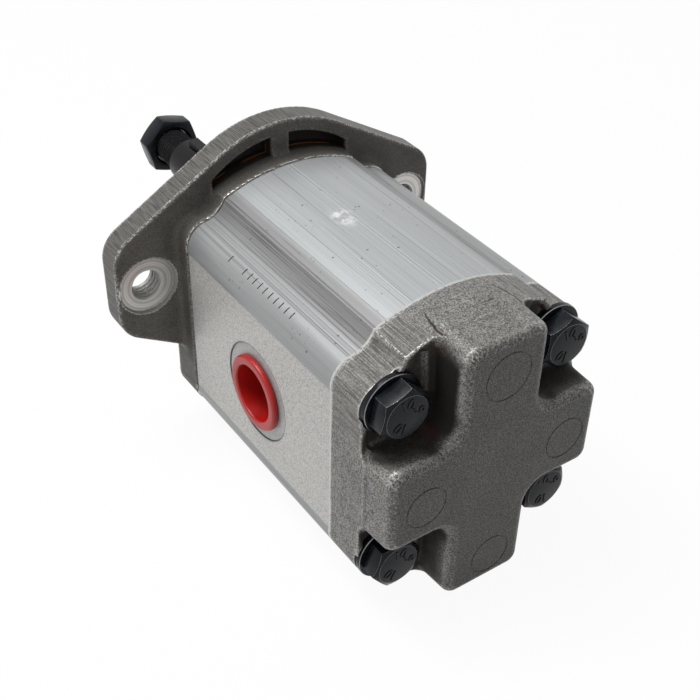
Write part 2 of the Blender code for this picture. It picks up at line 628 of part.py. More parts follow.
def make_mounting_flange(cast):
    """Front casting: block, two-ear plate with rear pockets, pilot, and nose with the stepped bore."""
    middle = (0, 0, BODY_MIDDLE)
    block_depth = MOUNTING_FACE - BLOCK_SETBACK - FLANGE_REAR
    block = prism(body_outline(COLLAR_GROWTH), block_depth, FLANGE_REAR)
    flange = place("mounting_flange", block, cast, middle)
    chamfer = PLATE_CHAMFER
    plate = loft([(flange_outline(-chamfer), PLATE_REAR), (flange_outline(), PLATE_REAR + chamfer),
                  (flange_outline(), MOUNTING_FACE - chamfer), (flange_outline(-chamfer), MOUNTING_FACE)])
    root = MOUNTING_FACE - PLATE_THICKNESS / 2
    pilot_end = MOUNTING_FACE + PILOT_HEIGHT
    nose_radius = BEARING_OUTER_RADIUS + NOSE_WALL
    nose = turned([(0, root), (PILOT_RADIUS, root), (PILOT_RADIUS, pilot_end - chamfer),
                   (PILOT_RADIUS - chamfer, pilot_end), (nose_radius, pilot_end),
                   (nose_radius, NOSE_END - NOSE_CHAMFER), (nose_radius - NOSE_CHAMFER, NOSE_END),
                   (0, NOSE_END)], FINE_SIDES)
    ears = [(-EAR_HOLE_X, 0), (EAR_HOLE_X, 0)]
    combine(flange, "UNION", tool("plate", plate), tool("pilot_and_nose", nose))
    ear_start = PLATE_REAR - JOINT_GAP
    spot_depth = EAR_SPOT_DEPTH + JOINT_GAP
    through = PLATE_THICKNESS + 2 * JOINT_GAP
    pockets = cluster([(prism(pocket_outline(side), POCKET_DEPTH + JOINT_GAP, PLATE_REAR - JOINT_GAP),
                        (0, 0, 0)) for side in (-1, 1)])
    outer, inner = housing_seal_outlines(JOINT_GAP)
    groove_depth = HOUSING_SEAL_THICKNESS + JOINT_GAP
    start = FLANGE_REAR - JOINT_GAP
    thread_depth = BOLT_THREAD_DEPTH + BOLT_TIP_ROOM + JOINT_GAP
    combine(flange, "DIFFERENCE",
            tool("pockets", pockets),
            tool("ear_spot_faces", drilled(EAR_SPOT_RADIUS, spot_depth, ear_start, ears, ROUND_SIDES)),
            tool("ear_holes", drilled(EAR_HOLE_RADIUS, through, ear_start, ears, HIDDEN_SIDES)),
            tool("shaft_bore", make_stepped_bore()),
            tool("flange_bolt_holes", drilled(BOLT_RADIUS + BOLT_CLEARANCE, thread_depth, start,
                                              bolt_spots()), middle),
            tool("flange_dowel_holes", drilled(DOWEL_RADIUS + JOINT_GAP, dowel_reach() + JOINT_GAP, start,
                                               dowel_spots()), middle),
            tool("flange_groove", ring_prism(outer, inner, groove_depth + JOINT_GAP, start), middle))
    return flange


def make_stepped_bore():
    """Cutter for the flange's bore: web, seal seat, bearing seat and the two ring grooves."""
    web = bore_radius(JOURNAL_RADIUS + WEB_BORE_CLEARANCE, HIDDEN_SIDES)
    seal = bore_radius(SHAFT_SEAL_RADIUS, HIDDEN_SIDES)
    seal_groove = bore_radius(SHAFT_SEAL_RADIUS + RING_BITE, HIDDEN_SIDES)
    bearing = bore_radius(BEARING_OUTER_RADIUS, HIDDEN_SIDES)
    bearing_groove = bore_radius(BEARING_OUTER_RADIUS + RING_BITE, HIDDEN_SIDES)
    ring = RING_THICKNESS + JOINT_GAP
    return turned([
        (0, FLANGE_REAR - JOINT_GAP), (web, FLANGE_REAR - JOINT_GAP), (web, SEAL_SEAT), (seal, SEAL_SEAT),
        (seal, SEAL_RING_REAR - JOINT_GAP), (seal_groove, SEAL_RING_REAR - JOINT_GAP),
        (seal_groove, SEAL_RING_REAR + ring), (seal, SEAL_RING_REAR + ring), (seal, BEARING_SEAT),
        (bearing, BEARING_SEAT), (bearing, BEARING_RING_REAR - JOINT_GAP),
        (bearing_groove, BEARING_RING_REAR - JOINT_GAP), (bearing_groove, BEARING_RING_REAR + ring),
        (bearing, BEARING_RING_REAR + ring), (bearing, NOSE_END + JOINT_GAP),
        (0, NOSE_END + JOINT_GAP)], HIDDEN_SIDES)


def make_cover_bolts(steel, washer_steel):
    """Four hexagon bolts with plain washers, through the rear cover and body into the flange."""
    head_blank = prism(hexagon(BOLT_HEAD_ACROSS_FLATS), BOLT_HEAD_HEIGHT)
    pattern = place("bolt_pattern", head_blank, steel)
    combine(pattern, "INTERSECT",
            tool("bolt_chamfer", chamfered_bar(BOLT_HEAD_ACROSS_FLATS, BOLT_HEAD_HEIGHT, False)))
    under_head = BOLT_SEAT - WASHER_THICKNESS - 2 * JOINT_GAP
    length = FLANGE_REAR + BOLT_THREAD_DEPTH - under_head
    tip = BOLT_HEAD_HEIGHT + length
    shank = turned([(0, BOLT_HEAD_HEIGHT / 2), (BOLT_RADIUS, BOLT_HEAD_HEIGHT / 2),
                    (BOLT_RADIUS, tip - BOLT_TIP_ROOM), (BOLT_RADIUS - BOLT_TIP_ROOM, tip),
                    (0, tip)], SMALL_SIDES)
    combine(pattern, "UNION", tool("bolt_shank", shank))
    mesh = finished_mesh(pattern)
    for used in (pattern, bpy.data.objects["tool_bolt_chamfer"], bpy.data.objects["tool_bolt_shank"]):
        bpy.data.objects.remove(used)
    hole = BOLT_RADIUS + BOLT_CLEARANCE
    for number, ((x, z), spin) in enumerate(zip(bolt_spots(), BOLT_SPINS), 1):
        bolt = bpy.data.objects.new(f"cover_bolt_{number}", mesh)
        bolt.location = (x, under_head - BOLT_HEAD_HEIGHT, BODY_MIDDLE + z)
        bolt.rotation_euler.y = -math.radians(spin)
        bpy.context.collection.objects.link(bolt)
        washer = turned([(hole, 0), (WASHER_RADIUS, 0), (WASHER_RADIUS, WASHER_THICKNESS),
                         (hole, WASHER_THICKNESS)], WASHER_SIDES, closed=True)
        spot = (x, BOLT_SEAT - JOINT_GAP - WASHER_THICKNESS, BODY_MIDDLE + z)
        place(f"cover_washer_{number}", washer, washer_steel, spot)


def make_dowels(steel):
    """Four dowel pins, two at each end of the body."""
    radius = DOWEL_RADIUS
    profile = [(0, 0), (radius - JOURNAL_CHAMFER, 0), (radius, JOURNAL_CHAMFER),
               (radius, DOWEL_LENGTH - JOURNAL_CHAMFER), (radius - JOURNAL_CHAMFER, DOWEL_LENGTH),
               (0, DOWEL_LENGTH)]
    number = 0
    for joint in (BODY_REAR - JOINT_GAP / 2, BODY_FRONT + JOINT_GAP / 2):
        for x, z in dowel_spots():
            number += 1
            spot = (x, joint - DOWEL_LENGTH / 2, BODY_MIDDLE + z)
            place(f"dowel_pin_{number}", turned(profile, SMALL_SIDES), steel, spot)


def make_bearing_blocks(aluminium, bronze, rubber, seal_rubber):
    """The two bearing blocks with their liners, 3-shaped pressure seals and the joint seals."""
    middle = (0, 0, BODY_MIDDLE)
    axes = {"drive": PITCH_RADIUS, "driven": -PITCH_RADIUS}
    rear = BODY_REAR
    front = BODY_FRONT - BLOCK_THICKNESS
    groove = PRESSURE_SEAL_THICKNESS + JOINT_GAP
    seal_groove = pressure_seal_outline(JOINT_GAP)
    for end, y in (("rear", rear), ("front", front)):
        outline = twin_outline(CHAMBER_RADIUS - JOINT_GAP)
        block = place(f"{end}_bearing_block", prism(outline, BLOCK_THICKNESS, y), aluminium, middle)
        holes = drilled(LINER_BORE_RADIUS, BLOCK_THICKNESS + 2 * JOINT_GAP, y - JOINT_GAP,
                        [(0, z) for z in axes.values()], HIDDEN_SIDES)
        mouth = y - JOINT_GAP if end == "rear" else y + BLOCK_THICKNESS - groove
        combine(block, "DIFFERENCE", tool(f"{end}_liner_bores", holes, middle),
                tool(f"{end}_seal_groove", prism(seal_groove, groove + JOINT_GAP, mouth), middle))
        seal_y = y if end == "rear" else y + BLOCK_THICKNESS - PRESSURE_SEAL_THICKNESS
        seal = prism(pressure_seal_outline(0), PRESSURE_SEAL_THICKNESS, seal_y)
        place(f"{end}_pressure_seal", seal, seal_rubber, middle)
        for shaft, z in axes.items():
            length = BLOCK_THICKNESS - 2 * LINER_RECESS
            inner = bore_radius(JOURNAL_RADIUS + RUNNING_GAP, HIDDEN_SIDES)
            liner = turned([(inner, 0), (LINER_OUTER_RADIUS, 0), (LINER_OUTER_RADIUS, length),
                            (inner, length)], HIDDEN_SIDES, closed=True)
            spot = (0, y + LINER_RECESS, BODY_MIDDLE + z)
            place(f"{end}_{shaft}_liner", liner, bronze, spot)
    outer, inner = housing_seal_outlines(0)
    for end, y in (("rear", COVER_DEPTH - HOUSING_SEAL_THICKNESS), ("front", FLANGE_REAR)):
        place(f"{end}_housing_seal", ring_prism(outer, inner, HOUSING_SEAL_THICKNESS, y), rubber, middle)


def make_driven_gear(steel):
    """Driven gear with its two journals, turning about the lower axis."""
    axis = axis_empty("driven_gear_axis", (0, 0, -CENTRE_DISTANCE))
    gear = place("driven_gear", prism(gear_outline(math.pi / 2 + math.pi / TEETH), GEAR_WIDTH, GEAR_REAR),
                 steel, parent=axis)
    rear = BODY_REAR + JOURNAL_END_GAP
    front = BODY_FRONT - JOURNAL_END_GAP
    chamfer = JOURNAL_CHAMFER
    journal = turned([(0, rear), (JOURNAL_RADIUS - chamfer, rear), (JOURNAL_RADIUS, rear + chamfer),
                      (JOURNAL_RADIUS, front - chamfer), (JOURNAL_RADIUS - chamfer, front),
                      (0, front)], ROUND_SIDES)
    combine(gear, "UNION", tool("driven_journals", journal, (0, 0, -CENTRE_DISTANCE)))
    return gear


def make_drive_shaft(steel, black_steel, key_steel):
    """Drive gear with its long shaft: journals, taper, key slot and threaded end, key and nut."""
    axis = axis_empty("drive_shaft_axis", (0, 0, 0))
    teeth = prism(gear_outline(-math.pi / 2), GEAR_WIDTH, GEAR_REAR)
    shaft = place("drive_gear_shaft", teeth, steel, parent=axis)
    rear = BODY_REAR + JOURNAL_END_GAP
    chamfer = JOURNAL_CHAMFER
    thread_chamfer = THREAD_CHAMFER
    relief = THREAD_RADIUS - RELIEF_DEPTH
    bar = turned([(0, rear), (JOURNAL_RADIUS - chamfer, rear), (JOURNAL_RADIUS, rear + chamfer),
                  (JOURNAL_RADIUS, TAPER_REAR), (SMALL_TAPER_RADIUS, TAPER_FRONT - chamfer),
                  (SMALL_TAPER_RADIUS - chamfer, TAPER_FRONT),
                  (relief, TAPER_FRONT), (relief, THREAD_REAR - thread_chamfer),
                  (THREAD_RADIUS, THREAD_REAR), (THREAD_RADIUS, SHAFT_END - thread_chamfer),
                  (THREAD_RADIUS - thread_chamfer, SHAFT_END), (0, SHAFT_END)], ROUND_SIDES)
    combine(shaft, "UNION", tool("shaft_bar", bar))
    key_y = TAPER_FRONT - KEY_FROM_TAPER_END
    taper_radius = SMALL_TAPER_RADIUS + KEY_FROM_TAPER_END * TAPER_RATIO / 2
    key_top = taper_radius + KEY_PROUD
    disc_middle = key_top - KEY_HEIGHT + KEY_DISC_RADIUS
    slot_width = KEY_WIDTH + 2 * JOINT_GAP
    slot_radius = bore_radius(KEY_DISC_RADIUS + JOINT_GAP, ROUND_SIDES)
    slot = prism(circle(slot_radius, ROUND_SIDES), slot_width, -slot_width / 2)
    combine(shaft, "DIFFERENCE", tool("key_slot", slot, (0, key_y, disc_middle), math.pi / 2))
    reach = math.degrees(math.asin((KEY_DISC_RADIUS - KEY_HEIGHT) / KEY_DISC_RADIUS))
    half_disc = arc(0, 0, KEY_DISC_RADIUS, 180 + reach, 360 - reach, 14)
    key = place("woodruff_key", prism(half_disc, KEY_WIDTH, -KEY_WIDTH / 2), key_steel,
                (0, key_y, disc_middle), axis)
    key.rotation_euler.z = math.pi / 2
    nut = place("shaft_nut", prism(hexagon(NUT_ACROSS_FLATS, NUT_SPIN), NUT_THICKNESS, NUT_REAR),
                black_steel, parent=axis)
    blank = chamfered_bar(NUT_ACROSS_FLATS, NUT_THICKNESS, True)
    hole = bore_radius(THREAD_RADIUS + JOINT_GAP, HIDDEN_SIDES)
    countersunk = hole + THREAD_CHAMFER
    bore = turned([(0, NUT_REAR - JOINT_GAP), (countersunk, NUT_REAR - JOINT_GAP), (countersunk, NUT_REAR),
                   (hole, NUT_REAR + THREAD_CHAMFER), (hole, NUT_REAR + NUT_THICKNESS - THREAD_CHAMFER),
                   (countersunk, NUT_REAR + NUT_THICKNESS),
                   (countersunk, NUT_REAR + NUT_THICKNESS + JOINT_GAP),
                   (0, NUT_REAR + NUT_THICKNESS + JOINT_GAP)], HIDDEN_SIDES)
    combine(nut, "INTERSECT", tool("nut_chamfers", blank, (0, NUT_REAR, 0)))
    combine(nut, "DIFFERENCE", tool("nut_bore", bore))
    return axis


def make_shaft_seal(rubber, steel):
    """Lip seal behind the bearing, and the spring ring that keeps it in."""
    outer = SHAFT_SEAL_RADIUS - JOINT_GAP
    wall = SHAFT_SEAL_WALL
    width = SHAFT_SEAL_WIDTH
    lip = JOURNAL_RADIUS + RUNNING_GAP
    sleeve = lip + LIP_SEAL_SLEEVE
    profile = [(outer, 0), (outer, width), (outer - wall, width), (outer - wall, wall), (sleeve + wall, wall),
               (sleeve + wall, LIP_SEAL_END), (sleeve, LIP_SEAL_END), (lip, LIP_SEAL_EDGE), (sleeve, 0)]
    place("shaft_lip_seal", turned(profile, HIDDEN_SIDES, closed=True), rubber, (0, SHAFT_SEAL_REAR, 0))
    place("seal_retaining_ring", retaining_ring(SHAFT_SEAL_RADIUS), steel, (0, SEAL_RING_REAR, 0))
    place("bearing_retaining_ring", retaining_ring(BEARING_OUTER_RADIUS), steel, (0, BEARING_RING_REAR, 0))


def make_bearing(steel, cage_brass, shaft_axis):
    """Outrigger ball bearing: two races, the balls in their cage, and two shields."""
    middle = BEARING_WIDTH / 2
    groove_radius = BALL_RADIUS + JOINT_GAP
    lean = math.degrees(math.acos(RACE_SHOULDER / groove_radius))
    outer = BEARING_OUTER_RADIUS - JOINT_GAP
    outer_groove = arc(BALL_CIRCLE, middle, groove_radius, lean, -lean, 3)
    outer_race = [(outer, 0), (outer, BEARING_WIDTH), (BALL_CIRCLE + RACE_SHOULDER, BEARING_WIDTH)]
    outer_race += outer_groove + [(BALL_CIRCLE + RACE_SHOULDER, 0)]
    inner = JOURNAL_RADIUS + JOINT_GAP
    inner_groove = arc(BALL_CIRCLE, middle, groove_radius, 180 + lean, 180 - lean, 3)
    inner_race = [(inner, BEARING_WIDTH), (inner, 0), (BALL_CIRCLE - RACE_SHOULDER, 0)]
    inner_race += inner_groove + [(BALL_CIRCLE - RACE_SHOULDER, BEARING_WIDTH)]
    spot = (0, BEARING_REAR, 0)
    place("bearing_outer_race", turned(outer_race, HIDDEN_SIDES, closed=True), steel, spot)
    place("bearing_inner_race", turned(inner_race, HIDDEN_SIDES, closed=True), steel, spot, shaft_axis)
    cage_axis = axis_empty("ball_cage_axis", (0, BEARING_REAR + middle, 0))
    cage_inner, cage_outer = BALL_CIRCLE - CAGE_HALF_DEPTH, BALL_CIRCLE + CAGE_HALF_DEPTH
    cage_profile = [(cage_inner, -CAGE_HALF_WIDTH), (cage_outer, -CAGE_HALF_WIDTH),
                    (cage_outer, CAGE_HALF_WIDTH), (cage_inner, CAGE_HALF_WIDTH)]
    cage = place("bearing_ball_cage", turned(cage_profile, 2 * BALL_COUNT, closed=True), cage_brass,
                 parent=cage_axis)
    balls = []
    for i in range(BALL_COUNT):
        angle = 2 * math.pi * i / BALL_COUNT
        ball = bmesh.new()
        bmesh.ops.create_uvsphere(ball, u_segments=BALL_SIDES, v_segments=BALL_SIDES // 2, radius=BALL_RADIUS)
        balls.append((ball, (BALL_CIRCLE * math.cos(angle), 0, BALL_CIRCLE * math.sin(angle))))
    combine(cage, "UNION", tool("balls", cluster(balls), (0, BEARING_REAR + middle, 0)))
    shield_inner = BALL_CIRCLE - RACE_SHOULDER + SHIELD_CLEARANCE
    shield_outer = BALL_CIRCLE + RACE_SHOULDER - JOINT_GAP
    for end, y in (("rear", SHIELD_INSET), ("front", BEARING_WIDTH - SHIELD_INSET - SHIELD_THICKNESS)):
        shield = turned([(shield_inner, 0), (shield_outer, 0), (shield_outer, SHIELD_THICKNESS),
                         (shield_inner, SHIELD_THICKNESS)], HIDDEN_SIDES, closed=True)
        place(f"bearing_{end}_shield", shield, steel, (0, BEARING_REAR + y, 0))


def make_port_plugs(red):
    """Push-in plugs that close the two ports until the hoses are fitted."""
    neck = PORT_RADIUS - JOINT_GAP
    cup = neck - PLUG_WALL
    flange = PORT_RADIUS + PLUG_FLANGE_OVERLAP
    profile = [(0, -PLUG_DEPTH), (neck - JOURNAL_CHAMFER, -PLUG_DEPTH),
               (neck, -PLUG_DEPTH + JOURNAL_CHAMFER), (neck, 0), (flange, 0),
               (flange, PLUG_FLANGE_THICKNESS - PLUG_RIM_CHAMFER),
               (flange - PLUG_RIM_CHAMFER, PLUG_FLANGE_THICKNESS),
               (cup, PLUG_FLANGE_THICKNESS), (cup, PLUG_FLOOR - PLUG_DEPTH),
               (0, PLUG_FLOOR - PLUG_DEPTH)]
    seat = BODY_HALF_WIDTH - PORT_SPOT_DEPTH + JOINT_GAP
    for name, side in (("left", -1), ("right", 1)):
        spot = (side * seat, PORT_Y, BODY_MIDDLE - PORT_DROP)
        plug = place("port_plug_" + name, turned(profile, ROUND_SIDES), red, spot)
        plug.rotation_euler.z = -side * math.pi / 2


def main():
    """Build every piece of the motor."""
    cast = material("cast_iron", (0.30, 0.30, 0.29), 0.55, 0.8)
    extruded = material("extruded_aluminium", (0.62, 0.64, 0.66), 0.35, 0.9)
    bearing_alloy = material("bearing_alloy", (0.55, 0.55, 0.53), 0.4, 0.9)
    ground_steel = material("ground_steel", (0.5, 0.5, 0.52), 0.25, 1.0)
    black_steel = material("black_oxide_steel", (0.02, 0.02, 0.022), 0.35, 0.6)
    bronze = material("bronze", (0.55, 0.36, 0.16), 0.35, 0.9)
    rubber = material("nitrile_rubber", (0.015, 0.015, 0.015), 0.7, 0.0)
    brown_rubber = material("seal_rubber", (0.20, 0.07, 0.03), 0.6, 0.0)
    brass = material("brass_cage", (0.6, 0.45, 0.18), 0.35, 0.9)
    red_plastic = material("red_plastic", (0.70, 0.02, 0.015), 0.35, 0.0)

    make_rear_cover(cast)
    make_gear_housing(extruded)
    make_mounting_flange(cast)
    make_cover_bolts(black_steel, black_steel)
    make_dowels(ground_steel)
    make_bearing_blocks(bearing_alloy, bronze, rubber, brown_rubber)
    make_driven_gear(ground_steel)
    shaft_axis = make_drive_shaft(black_steel, black_steel, ground_steel)
    make_shaft_seal(rubber, ground_steel)
    make_bearing(ground_steel, brass, shaft_axis)
    make_port_plugs(red_plastic)


clear_scene()
TOOL_MATERIAL = material("tool", (0.8, 0.8, 0.8), 0.5, 0.0)
main()
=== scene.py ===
"""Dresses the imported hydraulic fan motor: cast, extruded, turned and moulded pieces with their finishes.

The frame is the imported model's: metres, the origin where the drive axis meets the rear cover's outer
face, +Y along the shaft to its tapered end, +Z from the driven gear to the drive gear, X across the
two ports. The two castings are contoured from distance fields, so that their cast edges are soft and
their machined faces crisp. The other pieces are turned, extruded or patterned from their profiles.
"""

from __future__ import annotations

import logging
import math
from dataclasses import dataclass, field
from enum import Enum
from functools import cache, reduce
from typing import Callable, Iterable, Sequence

import bmesh
import bpy
import numpy as np
from mathutils import Matrix, Vector

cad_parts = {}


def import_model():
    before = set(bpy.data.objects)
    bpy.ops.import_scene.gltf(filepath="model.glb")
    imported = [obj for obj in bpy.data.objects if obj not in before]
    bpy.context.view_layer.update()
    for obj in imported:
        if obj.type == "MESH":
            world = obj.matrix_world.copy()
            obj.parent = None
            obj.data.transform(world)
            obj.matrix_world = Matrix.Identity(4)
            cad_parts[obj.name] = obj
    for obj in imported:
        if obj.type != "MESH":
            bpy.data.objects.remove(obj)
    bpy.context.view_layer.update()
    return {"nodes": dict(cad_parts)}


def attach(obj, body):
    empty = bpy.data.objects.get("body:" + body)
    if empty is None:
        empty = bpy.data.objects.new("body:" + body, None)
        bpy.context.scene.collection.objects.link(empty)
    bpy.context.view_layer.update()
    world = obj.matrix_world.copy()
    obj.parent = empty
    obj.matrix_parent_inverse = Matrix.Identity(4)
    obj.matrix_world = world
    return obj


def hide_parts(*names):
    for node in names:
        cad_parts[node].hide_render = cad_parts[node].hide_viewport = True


LOG = logging.getLogger("fan_motor")
MM = 0.001
ON_AXIS = 0.0001 * MM
TINY = 1e-12

Array = np.ndarray
Shape = bmesh.types.BMesh
Mesh, Object, Material = bpy.types.Mesh, bpy.types.Object, bpy.types.Material
Node, Socket, Outputs = bpy.types.Node, bpy.types.NodeSocket, bpy.types.NodeOutputs
Links = dict[str | int, object]
Wires = dict[str, Socket]
Point = tuple[float, float]
Outline = list[Point]
Triple = tuple[float, float, float]
Colour = Triple
Section = Callable[[Array, Array], Array]
Distance = Callable[[Array, Array, Array], Array]


# Outlines in the XZ plane


def arc(x: float, z: float, radius: float, start: float, end: float, steps: int) -> Outline:
    """Points on an arc.

    Args:
        x, z: Centre of the arc.
        radius: Its radius.
        start, end: Angles in degrees from +X towards +Z.
        steps: Number of chords.
    Returns:
        The points from start to end, both included.
    """
    angles = [math.radians(start + (end - start) * i / steps) for i in range(steps + 1)]
    return [(x + radius * math.cos(a), z + radius * math.sin(a)) for a in angles]


def circle(radius: float, sides: int, x: float = 0.0, z: float = 0.0) -> Outline:
    """Closed outline of a round piece."""
    return arc(x, z, radius, 0, 360 * (1 - 1 / sides), sides - 1)


def bowed(start: Point, end: Point, sag: float, steps: int) -> Outline:
    """Points on the arc that bows to the left of its chord.

    Args:
        start, end: Ends of the chord.
        sag: How far the arc's middle stands off the chord.
        steps: Number of chords along the arc.
    Returns:
        The points from start to end, both included.
    """
    first, last = Vector(start), Vector(end)
    along = (last - first).normalized()
    left = Vector((-along.y, along.x))
    half = (last - first).length / 2
    radius = (half ** 2 + sag ** 2) / (2 * sag)
    centre = (first + last) / 2 - left * (radius - sag)
    spread = math.asin(half / radius)
    angles = [spread * (2 * i / steps - 1) for i in range(steps + 1)]
    return [tuple(centre + radius * (left * math.cos(a) + along * math.sin(a))) for a in angles]


def rounded(corners: Sequence[Triple], steps: int = 8) -> Outline:
    """Closed polygon whose corners are rounded by arcs.

    Args:
        corners: (x, z, radius) of each corner; a radius of 0 leaves it sharp.
        steps: Chords along each rounding.
    Returns:
        The rounded outline.
    """
    outline: Outline = []
    for i, (x, z, radius) in enumerate(corners):
        if radius <= 0:
            outline.append((x, z))
            continue
        here = Vector((x, z))
        back = (Vector(corners[i - 1][:2]) - here).normalized()
        ahead = (Vector(corners[(i + 1) % len(corners)][:2]) - here).normalized()
        half = back.angle(ahead) / 2
        centre = here + (back + ahead).normalized() * radius / math.sin(half)
        first = here + back * radius / math.tan(half) - centre
        last = here + ahead * radius / math.tan(half) - centre
        start = math.atan2(first.y, first.x)
        sweep = (math.atan2(last.y, last.x) - start + math.pi) % (2 * math.pi) - math.pi
        outline += arc(centre.x, centre.y, radius, math.degrees(start), math.degrees(start + sweep), steps)
    return outline


def offset(outline: Outline, by: float) -> Outline:
    """Outline moved outwards along its normals.

    Args:
        outline: Closed outline, anticlockwise.
        by: Distance, negative for inwards.
    Returns:
        An outline of as many points.
    """
    points = np.array(outline)
    along = np.roll(points, -1, 0) - np.roll(points, 1, 0)
    normal = np.stack([along[:, 1], -along[:, 0]], 1) / np.linalg.norm(along, axis=1)[:, None]
    return [tuple(p) for p in points + normal * by]


def scored(outline: Outline, marks: Sequence[tuple[float, float, float, float]]) -> Outline:
    """Outline with small V grooves, the lines that a die leaves along an extrusion.

    Args:
        outline: Closed outline, anticlockwise.
        marks: (x, z, half width, depth) of each groove, on or near the outline.
    Returns:
        The outline with three points at each groove.
    """
    points = np.array(outline)
    closed = np.vstack([points, points[:1]])
    length = np.concatenate([[0], np.cumsum(np.linalg.norm(np.diff(closed, axis=0), axis=1))])
    dense = np.linspace(0, length[-1], 6000, endpoint=False)
    there = np.stack([np.interp(dense, length, closed[:, i]) for i in (0, 1)], 1)
    keep = {float(s): (0.0, tuple(p)) for s, p in zip(length[:-1], points)}
    for x, z, half, depth in marks:
        at = dense[np.argmin(np.hypot(there[:, 0] - x, there[:, 1] - z))]
        keep = {s: v for s, v in keep.items() if abs(s - at) > half * 1.3}
        for s, sink in ((at - half, 0.0), (at, depth), (at + half, 0.0)):
            spot = tuple(np.interp(s, length, closed[:, i]) for i in (0, 1))
            keep[float(s)] = (sink, spot)
    order = sorted(keep)
    base = [keep[s][1] for s in order]
    sunk = np.array(offset(base, -1.0)) - np.array(base)
    return [tuple(np.array(b) + n * keep[s][0]) for s, b, n in zip(order, base, sunk)]


# Distance fields, negative inside the metal


def polygon(outline: Outline) -> Section:
    """Signed distance from a closed outline, negative inside.

    Args:
        outline: Points in order.
    Returns:
        A function of x and z arrays.
    """
    corners = np.array(outline)
    following = np.roll(corners, -1, 0)

    def distance(x: Array, z: Array) -> Array:
        """Distance at each place."""
        x, z = np.broadcast_arrays(x, z)
        nearest = np.full(x.shape, np.inf)
        inside = np.zeros(x.shape, bool)
        for (ax, az), (bx, bz) in zip(corners, following):
            ex, ez, wx, wz = bx - ax, bz - az, x - ax, z - az
            t = np.clip((wx * ex + wz * ez) / (ex * ex + ez * ez), 0, 1)
            nearest = np.minimum(nearest, (wx - ex * t) ** 2 + (wz - ez * t) ** 2)
            if az != bz:
                inside ^= ((az > z) != (bz > z)) & (wx < ex * wz / ez)
        return np.where(inside, -1.0, 1.0) * np.sqrt(nearest)

    return distance


def discs(spots: Sequence[Point], radius: float) -> Section:
    """Section of round bars of one radius, one at each spot."""
    return lambda x, z: np.minimum.reduce([np.hypot(x - cx, z - cz) - radius for cx, cz in spots])


def shifted(section: Section, z_by: float = 0.0, grow: float = 0.0) -> Section:
    """Section moved along Z and set off outwards."""
    return lambda x, z: section(x, z - z_by) - grow


def banded(section: Section, half_width: float) -> Section:
    """The strip within half_width of a section's outline."""
    return lambda x, z: np.abs(section(x, z)) - half_width


@dataclass(frozen=True)
class Solid:
    """A distance field that others are joined to or cut from."""

    distance: Distance

    def join(self, other: "Solid", blend: float = 0.0) -> "Solid":
        """Union, with a fillet of about the blend's size where the two meet."""
        return Solid(lambda x, y, z: smooth_min(self.distance(x, y, z), other.distance(x, y, z), blend))

    def meet(self, other: "Solid") -> "Solid":
        """Intersection."""
        return Solid(lambda x, y, z: np.maximum(self.distance(x, y, z), other.distance(x, y, z)))

    def cut(self, other: "Solid", blend: float = 0.0) -> "Solid":
        """Difference, with its edges rounded by about the blend's size."""
        return Solid(lambda x, y, z: -smooth_min(-self.distance(x, y, z), other.distance(x, y, z), blend))


def smooth_min(a: Array, b: Array, blend: float) -> Array:
    """Smaller of two distances.

    Args:
        a, b: The distances.
        blend: Width over which one is eased into the other.
    Returns:
        The eased distance.
    """
    if blend <= 0:
        return np.minimum(a, b)
    share = np.clip(0.5 + 0.5 * (b - a) / blend, 0, 1)
    return b + (a - b) * share - blend * share * (1 - share)


def bar(section: Section, low: float, high: float, chamfer: float = 0.0, rounding: float = 0.0,
        draft: float = 0.0) -> Solid:
    """Section drawn along Y from low to high.

    Args:
        section: Distance in the XZ plane.
        low, high: Y of the two ends.
        chamfer: Width of the flat broken edge at both ends.
        rounding: Radius of the edge at both ends, instead of a chamfer.
        draft: How much the section grows outwards for each metre along +Y.
    Returns:
        The solid.
    """
    def distance(x: Array, y: Array, z: Array) -> Array:
        """Distance at each place."""
        across = section(x, z) - draft * (y - low - rounding)
        along = np.maximum(low - y, y - high)
        if rounding > 0:
            a, b = across + rounding, along + rounding
            return np.hypot(np.maximum(a, 0), np.maximum(b, 0)) + np.minimum(np.maximum(a, b), 0) - rounding
        if chamfer > 0:
            return np.maximum(np.maximum(across, along), (across + along + chamfer) / math.sqrt(2))
        return np.maximum(across, along)

    return Solid(distance)


def capsule(start: Sequence[float], end: Sequence[float], radius: float) -> Solid:
    """Round-ended rod, for a cast ridge.

    Args:
        start, end: Centres of its two ends.
        radius: Its radius.
    Returns:
        The solid.
    """
    a, b = np.array(start, float), np.array(end, float)
    ab = b - a
    size = max(float(ab @ ab), TINY)

    def distance(x: Array, y: Array, z: Array) -> Array:
        """Distance at each place."""
        t = np.clip(((x - a[0]) * ab[0] + (y - a[1]) * ab[1] + (z - a[2]) * ab[2]) / size, 0, 1)
        return np.sqrt((x - a[0] - ab[0] * t) ** 2 + (y - a[1] - ab[1] * t) ** 2
                       + (z - a[2] - ab[2] * t) ** 2) - radius

    return Solid(distance)


def gradient(solid: Solid, points: Array, step: float) -> Array:
    """Outward directions of a field.

    Args:
        solid: The field.
        points: Where to measure them.
        step: How far to each side the field is read.
    Returns:
        A unit vector for each point.
    """
    slope = np.empty_like(points)
    for axis in range(3):
        ahead, behind = points.copy(), points.copy()
        ahead[:, axis] += step
        behind[:, axis] -= step
        slope[:, axis] = solid.distance(*ahead.T) - solid.distance(*behind.T)
    return slope / np.maximum(np.linalg.norm(slope, axis=1), TINY)[:, None]


